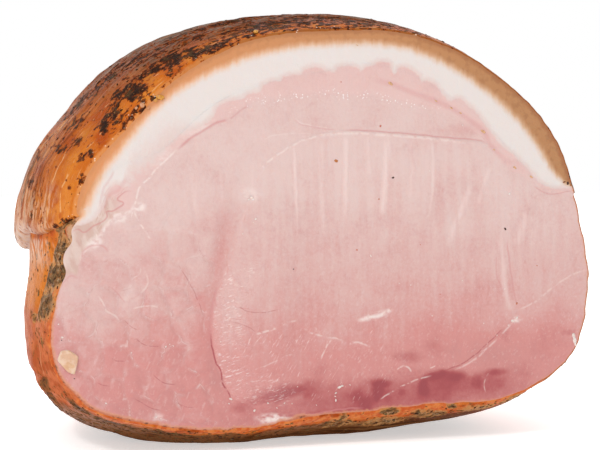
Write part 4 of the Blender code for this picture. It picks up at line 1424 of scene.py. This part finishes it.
def lumps(name, places, finish, facets=2, rugged=0.28):
    """One piece of small lumps, each with its place, the way out, three sizes in millimetres,
    how far its middle stands out as a share of its height, its turn and its shade."""
    ball = bmesh.new()
    bmesh.ops.create_icosphere(ball, subdivisions=facets, radius=0.5)
    corners = np.array([vertex.co[:] for vertex in ball.verts])
    sides = np.array([[vertex.index for vertex in face.verts] for face in ball.faces])
    ball.free()
    chance = np.random.default_rng(len(places))
    points, faces, shades = [], [], []
    for k, (where, out, sizes, lift, turn, shade) in enumerate(places):
        out = Vector(out).normalized()
        first = Vector((1, 0, 0)) if abs(out.y) > 0.7 else Vector((0, 1, 0)).cross(out)
        first = (first - out * first.dot(out)).normalized()
        second = out.cross(first)
        along = first * math.cos(turn) + second * math.sin(turn)
        across = out.cross(along)
        axes = np.array([along[:], across[:], out[:]])
        uneven = corners * chance.uniform(1 - rugged, 1 + rugged, (len(corners), 1))
        uneven = uneven * np.array(sizes) * MM
        uneven[:, 2] += lift * sizes[2] * MM
        points.append(np.array(where) + uneven @ axes)
        faces.append(sides + k * len(corners))
        shades += [shade] * len(corners)
    mesh = bpy.data.meshes.new(name)
    mesh.from_pydata(np.concatenate(points).tolist(), [], np.concatenate(faces).tolist())
    mesh.materials.append(finish)
    mesh.shade_smooth()
    set_values(mesh, "shade", shades)
    piece = bpy.data.objects.new(name, mesh)
    bpy.context.scene.collection.objects.link(piece)
    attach(piece, "root")
    return piece


# How many crumbs a bed gets at most, and how many lie strewn over all the outside.
MOST_CRUMBS = 42
STREWN_CRUMBS = 420


def herb_places():
    """Places for the crumbs: fewer over the top than below, and few of them far back."""
    chance = np.random.default_rng(5)
    spots = []
    for middle, deep, reach, reach_back, power in HERB_BEDS:
        count = int(min(MOST_CRUMBS, 0.95 * power * reach * reach_back + 2))
        if middle < 205:
            count = count // 2
        if deep > 45:
            count = count // 3
        for _ in range(count):
            angle = middle + 0.75 * reach * chance.normal()
            spots.append((angle, deep + 0.75 * reach_back * chance.normal()))
    for _ in range(STREWN_CRUMBS):
        spots.append((chance.uniform(-20, 250), 1 + 125 * chance.random() ** 1.4))
    places = []
    for angle, depth in spots:
        if 155 < angle < 183 and chance.random() < 0.6:
            continue
        hit = on_skin(angle, max(0.7, depth)) if depth < 138 else None
        if hit is None or hit[0].z < solid_box[0][2] + 1.2 * MM:
            continue
        length = chance.uniform(0.5, 1.6)
        sizes = (length, length * chance.uniform(0.3, 0.7), chance.uniform(0.14, 0.3))
        shade = chance.uniform(0, 0.7) if angle < 177 else chance.uniform(0.1, 0.92)
        places.append((hit[0], hit[1], sizes, 0.12, chance.normal(0, 0.7), shade))
    return places


def herbs_finish():
    """Nearly black to olive and straw, crumb by crumb."""
    herbs = Finish("herbs", tint(60, 32, 16))
    shade = herbs.marked("shade") + (herbs.noise(0.6, 2) - 0.5) * 0.4
    herbs.coat(tint(100, 48, 18), herbs.mask(shade, 0.25, 0.6))
    herbs.coat(tint(104, 84, 50), herbs.mask(shade, 0.62, 0.78))
    herbs.coat(tint(190, 156, 108), herbs.mask(shade, 0.94, 1.0))
    herbs.emboss(herbs.noise(0.25, 3), 0.08)
    return herbs.dry(Roughness=0.7, Specular_IOR_Level=0.1, Specular_Tint=(1.0, 0.8, 0.6, 1.0))


lumps("herb_crumbs", herb_places(), herbs_finish())

# ---- The mustard seeds ----------------------------------------------------------------------
# Whole mustard seeds from the rub, swollen and glassy from the smoking, caught where the rind
# meets the cut.


# Each seed: its place, its length and width in millimetres, its turn in radians and how tan it
# is. The place is millimetres right of the middle and above it on the cut, and the angle and
# the depth in millimetres on the rind.
SEEDS_ON_CUT = [
    (-61.9, 44.2, 3.1, 1.8, -0.25, 0.1), (-63.4, 43.2, 1.6, 1.2, 0.4, 0.6),
    (-66.0, 40.6, 1.2, 1.0, 0.8, 0.9),
]
SEEDS_ON_RIND = [
    (148.6, 0.7, 2.1, 1.7, 1.2, 0.95), (149.9, 1.6, 1.3, 1.1, 0.2, 0.8),
    (112.0, 3.2, 1.9, 1.8, 0.5, 0.35),
]


def seed_places():
    """Places for the seeds. Those on the rind are pressed in less deep."""
    places = []
    for x, z, long, wide, turn, shade in SEEDS_ON_CUT:
        where, out = on_cut(x, z)
        places.append((where, out, (long, wide, 0.9 * wide), 0.15, turn, shade))
    for angle, depth, long, wide, turn, shade in SEEDS_ON_RIND:
        where, out = on_skin(angle, depth)
        places.append((where, out, (long, wide, 0.8 * wide), 0.22, turn, shade))
    return places


def seeds_finish():
    """Glassy yellow, or tan where a seed's shade is high, with darker places."""
    seeds = Finish("mustard_seeds", tint(212, 146, 34))
    seeds.coat(tint(206, 142, 96), seeds.mask(seeds.marked("shade"), 0.5, 0.8))
    seeds.coat(tint(168, 98, 26), seeds.mask(seeds.noise(0.7, 3), 0.5, 0.36, 0.8))
    seeds.emboss(seeds.noise(0.4, 2), 0.06)
    return seeds.dry(
        Roughness=0.24, Specular_IOR_Level=0.45, Coat_Weight=0.3, Coat_Roughness=0.08,
        Subsurface_Weight=0.3, Subsurface_Scale=0.001, Subsurface_Radius=(1.0, 0.7, 0.3),
    )


lumps("mustard_seeds", seed_places(), seeds_finish(), 3, 0.03)

# ---- The chip of fat ------------------------------------------------------------------------
# A thin flat chip of smoked fat, under a millimetre thick, that the knife dragged down and left
# sticking to the lean's left edge.

# The chip's corners on the cut, and its thickness, in millimetres.
CHIP = [
    (-96.7, -41.4), (-94.1, -41.1), (-90.4, -43.5), (-91.2, -47.4), (-91.9, -49.7), (-94.1, -48.9),
    (-98.0, -44.6),
]
CHIP_THICKNESS = 0.7


def chip_grids():
    """The chip's front, domed at its rim, and its back, a little way into the meat."""
    corners = np.array([*CHIP, CHIP[0]])
    share = np.linspace(0, 1, 8, endpoint=False)[:, None]
    rim = np.concatenate([a + (b - a) * share for a, b in zip(corners, corners[1:])])
    for _ in range(2):
        rim = 0.5 * rim + 0.25 * (np.roll(rim, 1, 0) + np.roll(rim, -1, 0))
    rim = np.concatenate([rim, rim[:1]])
    middle = rim[:-1].mean(0)
    share = np.linspace(0, 1, 15)[:, None, None]
    flat = middle + (rim - middle) * share
    where = on_cut(*middle)[0]
    lie = (where.y - MIDDLE[1]) / MM
    dome = np.sqrt(np.clip(1 - np.clip((share[..., 0] - 0.82) / 0.18, 0, 1) ** 2, 0, 1))
    spots = in_space(flat[..., 0], flat[..., 1])
    rough = 0.16 * soft_noise(spots, 2.0, 41) + 0.08 * soft_noise(spots, 0.8, 42)
    bend = 0.25 * np.cos(0.5 * (flat[..., 0] - middle[0]))
    front = lie - bend - (CHIP_THICKNESS + rough) * dome + 0.1
    back = lie - bend + 0.5 * np.minimum(1, 4 * (1 - share[..., 0])) + 0.1
    return [np.stack([flat[..., 0], y, flat[..., 1]], -1) * MM for y in (front, back)]


def chip_finish():
    """Waxy fat between cream and tan."""
    chip = Finish("chip_of_fat", tint(222, 180, 150))
    chip.coat(tint(232, 200, 174), chip.mask(chip.noise(3.0, 3), 0.46, 0.62))
    chip.coat(tint(216, 166, 118), chip.mask(chip.noise(2.6, 3), 0.46, 0.34, 0.6))
    chip.emboss(chip.noise(0.6, 3), 0.08)
    return chip.dry(
        Roughness=0.38, Specular_IOR_Level=0.35, Subsurface_Weight=0.35, Subsurface_Scale=0.002,
        Subsurface_Radius=(1.0, 0.6, 0.35),
    )


chip_front, chip_back = chip_grids()
chip = meat_mesh(
    "chip_of_fat",
    [(chip_front, 0, fine_faces), (chip_back, 0, fine_faces)],
    [chip_finish()],
)
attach(chip, "root")

# ---- The crumbs on the cut ------------------------------------------------------------------
# What clings to the wet cut: white crumbs of fat, beads of jelly, a few grains of the rub and
# the ends of small vessels, brown from the cooking.

# Each crumb: its place on the cut and its length in millimetres. A brown one also says how
# pale a brown it is.
WHITE_CRUMBS = [
    (67.3, 10.3, 0.9), (36.4, 18.7, 0.5), (49, 35.1, 0.5), (14.3, -11.3, 0.9), (-96, -36.9, 0.9),
    (-97.3, -32.4, 0.6), (-81.1, -59.9, 0.7), (65.6, -24.2, 0.6), (68.9, -36, 1.3),
    (70.6, -34.8, 0.8), (67.2, -37.4, 0.6), (62.8, -41, 0.5), (49.2, -20.8, 0.5), (29.4, -22, 0.5),
    (57.6, -36.5, 0.5), (37.6, -33.2, 0.5), (25, -21.2, 0.5), (-29.4, 9.6, 1.6), (-30.6, 9.0, 0.8),
    (-28.4, 2.4, 0.9), (-29.2, 1.2, 0.5), (-33, -2.8, 0.5), (93.2, -42.2, 2.2), (93.6, -43.8, 2.4),
    (93.9, -45.2, 1.4), (-37.2, -60.2, 1.2), (-37.8, -61.8, 0.6), (-23.9, -62.1, 0.7),
    (-17.8, -62.4, 0.7), (-15, -62.7, 0.6), (-20.5, -64, 0.5), (2.6, -57.6, 1.5), (3.6, -57.2, 1.0),
    (6.5, -56.9, 0.6), (1.2, -62.2, 0.9), (-28.6, -64.6, 1.0), (1.2, -59.6, 0.8), (1.0, -60.8, 0.7),
    (-6, -63.6, 0.5), (-41, -40, 0.4), (-39.4, -46.6, 0.4), (-13, -56.8, 0.4), (-60.2, -41.2, 0.7),
    (-57.6, -41.0, 0.6), (-88, 6.4, 0.5), (-58.9, -40.4, 0.5), (-72.2, -42.9, 0.5),
    (-63.6, -65.4, 0.7), (-62, -66, 0.6),
]
BROWN_GRAINS = [
    (1.2, 22.4, 1.4, 0.4), (22.5, 16.4, 1.0, 0.1), (65.8, -2.4, 1.0, 0.0), (-96.2, -37.9, 0.4, 0.1),
    (-92, -51, 0.5, 0.1), (17.8, 34.7, 0.8, 0.75), (3.1, 50.1, 0.5, 0.75), (17.3, 8.8, 0.6, 0.6),
    (70.5, -29.6, 0.9, 0.6), (9.1, -9.1, 0.7, 0.65), (88.9, 14.4, 1.1, 0.3), (90.4, 14.0, 1.2, 0.2),
    (91.7, 13.3, 0.9, 0.35), (94.1, -47.3, 1.3, 0.3), (94.5, -49.4, 1.0, 0.2),
    (-14.6, -15.4, 0.5, 0.2), (33, -7.6, 0.5, 0.8), (40.6, -25.6, 0.5, 0.8), (78.4, -16, 0.6, 0.8),
]
# The cut ends of small vessels, in a row under the fat: flat, and drawn out along the row.
VESSEL_ENDS = [
    (21.6, 49.7, 2.0), (38.8, 43.7, 1.2), (44.7, 41.2, 1.3), (48.3, 39.4, 1.1), (57.0, 32.8, 2.2),
    (61.3, 26.3, 0.9), (69.4, 19.8, 1.5), (75.9, 16.4, 1.4), (9, 63.1, 1.0),
]


# Crumbs further right than this lie along the cut's right edge.
RIGHT_EDGE = 93


def crumb_places(crumbs, width, thickness, turn=None):
    """Places for lumps on the cut; a turn is in degrees above level."""
    chance = np.random.default_rng(len(crumbs))
    places = []
    for x, z, size, *shade in crumbs:
        hit = on_cut(x, z)
        if hit:
            sizes = (size, size * width * chance.uniform(0.8, 1.25), thickness * min(size, 1.2))
            shade = shade[0] if shade else chance.random()
            way = chance.uniform(0, 3.1) if turn is None else math.radians(turn)
            way = math.radians(105) if x > RIGHT_EDGE else way
            places.append((hit[0], hit[1], sizes, 0.0, way, shade))
    return places


def white_crumbs_finish():
    """Moist white fat with pinker places."""
    crumbs = Finish("white_crumbs", tint(243, 226, 217))
    crumbs.coat(tint(234, 202, 192), crumbs.mask(crumbs.noise(0.6, 3), 0.5, 0.36))
    crumbs.emboss(crumbs.noise(0.3, 3), 0.08)
    return crumbs.dry(
        Roughness=0.3, Specular_IOR_Level=0.45, Coat_Weight=0.2, Coat_Roughness=0.1,
        Subsurface_Weight=0.4, Subsurface_Scale=0.001, Subsurface_Radius=(1.0, 0.6, 0.5),
    )


def brown_grains_finish():
    """Dark brown, tan, pink or straw, by each grain's shade."""
    grains = Finish("brown_grains", tint(74, 42, 30))
    shade = grains.marked("shade")
    grains.coat(tint(188, 118, 66), grains.mask(shade, 0.2, 0.4))
    grains.coat(tint(210, 126, 106), grains.mask(shade, 0.5, 0.7))
    grains.coat(tint(222, 172, 128), grains.mask(shade, 0.9, 0.98))
    grains.coat(tint(46, 28, 20), grains.mask(grains.noise(0.5, 2), 0.5, 0.36, 0.3))
    return grains.dry(Roughness=0.4, Specular_IOR_Level=0.3)


vessel_ends = [(x, z, size, 1.0) for x, z, size in VESSEL_ENDS]
grain_places = crumb_places(BROWN_GRAINS, 0.7, 0.3) + crumb_places(vessel_ends, 0.4, 0.12, -35)
lumps("white_crumbs", crumb_places(WHITE_CRUMBS, 0.6, 0.35), white_crumbs_finish(), 3, 0.16)
lumps("brown_grains", grain_places, brown_grains_finish(), 3, 0.16)

# ---- The table, the lights and the camera ---------------------------------------------------
# A white table in a white studio, a soft lamp up at the left, and a camera at the cut's left.

floor_mesh = bpy.data.meshes.new("table")
floor_mesh.from_pydata([(-3, -3, 0), (3, -3, 0), (3, 3, 0), (-3, 3, 0)], [], [(0, 1, 2, 3)])
table_top = Finish("white_table", (0.86, 0.86, 0.86, 1))
table_top.coat((0.9, 0.9, 0.9, 1), table_top.noise(40, 2))
floor_mesh.materials.append(table_top.dry(
    Roughness=0.7, Specular_IOR_Level=0.1, Emission_Color=(1, 1, 1, 1), Emission_Strength=0.5,
))
floor = bpy.data.objects.new("table", floor_mesh)
bpy.context.scene.collection.objects.link(floor)

world = bpy.data.worlds.new("studio")
bpy.context.scene.world = world
world.use_nodes = True
world.node_tree.nodes["Background"].inputs["Color"].default_value = (1, 1, 1, 1)
world.node_tree.nodes["Background"].inputs["Strength"].default_value = 1.0


def soft_lamp(name, place, size, power):
    """A square lamp that points at the middle of the meat."""
    lamp_data = bpy.data.lights.new(name, "AREA")
    lamp_data.size = size
    lamp_data.energy = power
    lamp = bpy.data.objects.new(name, lamp_data)
    lamp.location = place
    lamp.rotation_euler = (Vector(MIDDLE) - Vector(place)).to_track_quat("-Z", "Y").to_euler()
    bpy.context.scene.collection.objects.link(lamp)


soft_lamp("key_lamp", (-0.75, -0.75, 0.85), 0.16, 4.5)

VIEW_SIDE = math.radians(17.0)
VIEW_DOWN = math.radians(2.5)
sight = Vector((
    math.sin(VIEW_SIDE) * math.cos(VIEW_DOWN),
    math.cos(VIEW_SIDE) * math.cos(VIEW_DOWN),
    -math.sin(VIEW_DOWN),
))
AIM_LEFT = 12 * MM
CAMERA_DISTANCE = 0.65
camera_data = bpy.data.cameras.new("camera")
camera_data.lens = 111.4
camera_data.sensor_width = 36.0
camera = bpy.data.objects.new("camera", camera_data)
camera.location = Vector(MIDDLE) - Vector((AIM_LEFT, 0, 0)) - sight * CAMERA_DISTANCE
camera.rotation_euler = sight.to_track_quat("-Z", "Y").to_euler()
bpy.context.scene.collection.objects.link(camera)
bpy.context.scene.camera = camera
bpy.context.scene.view_settings.view_transform = "Standard"
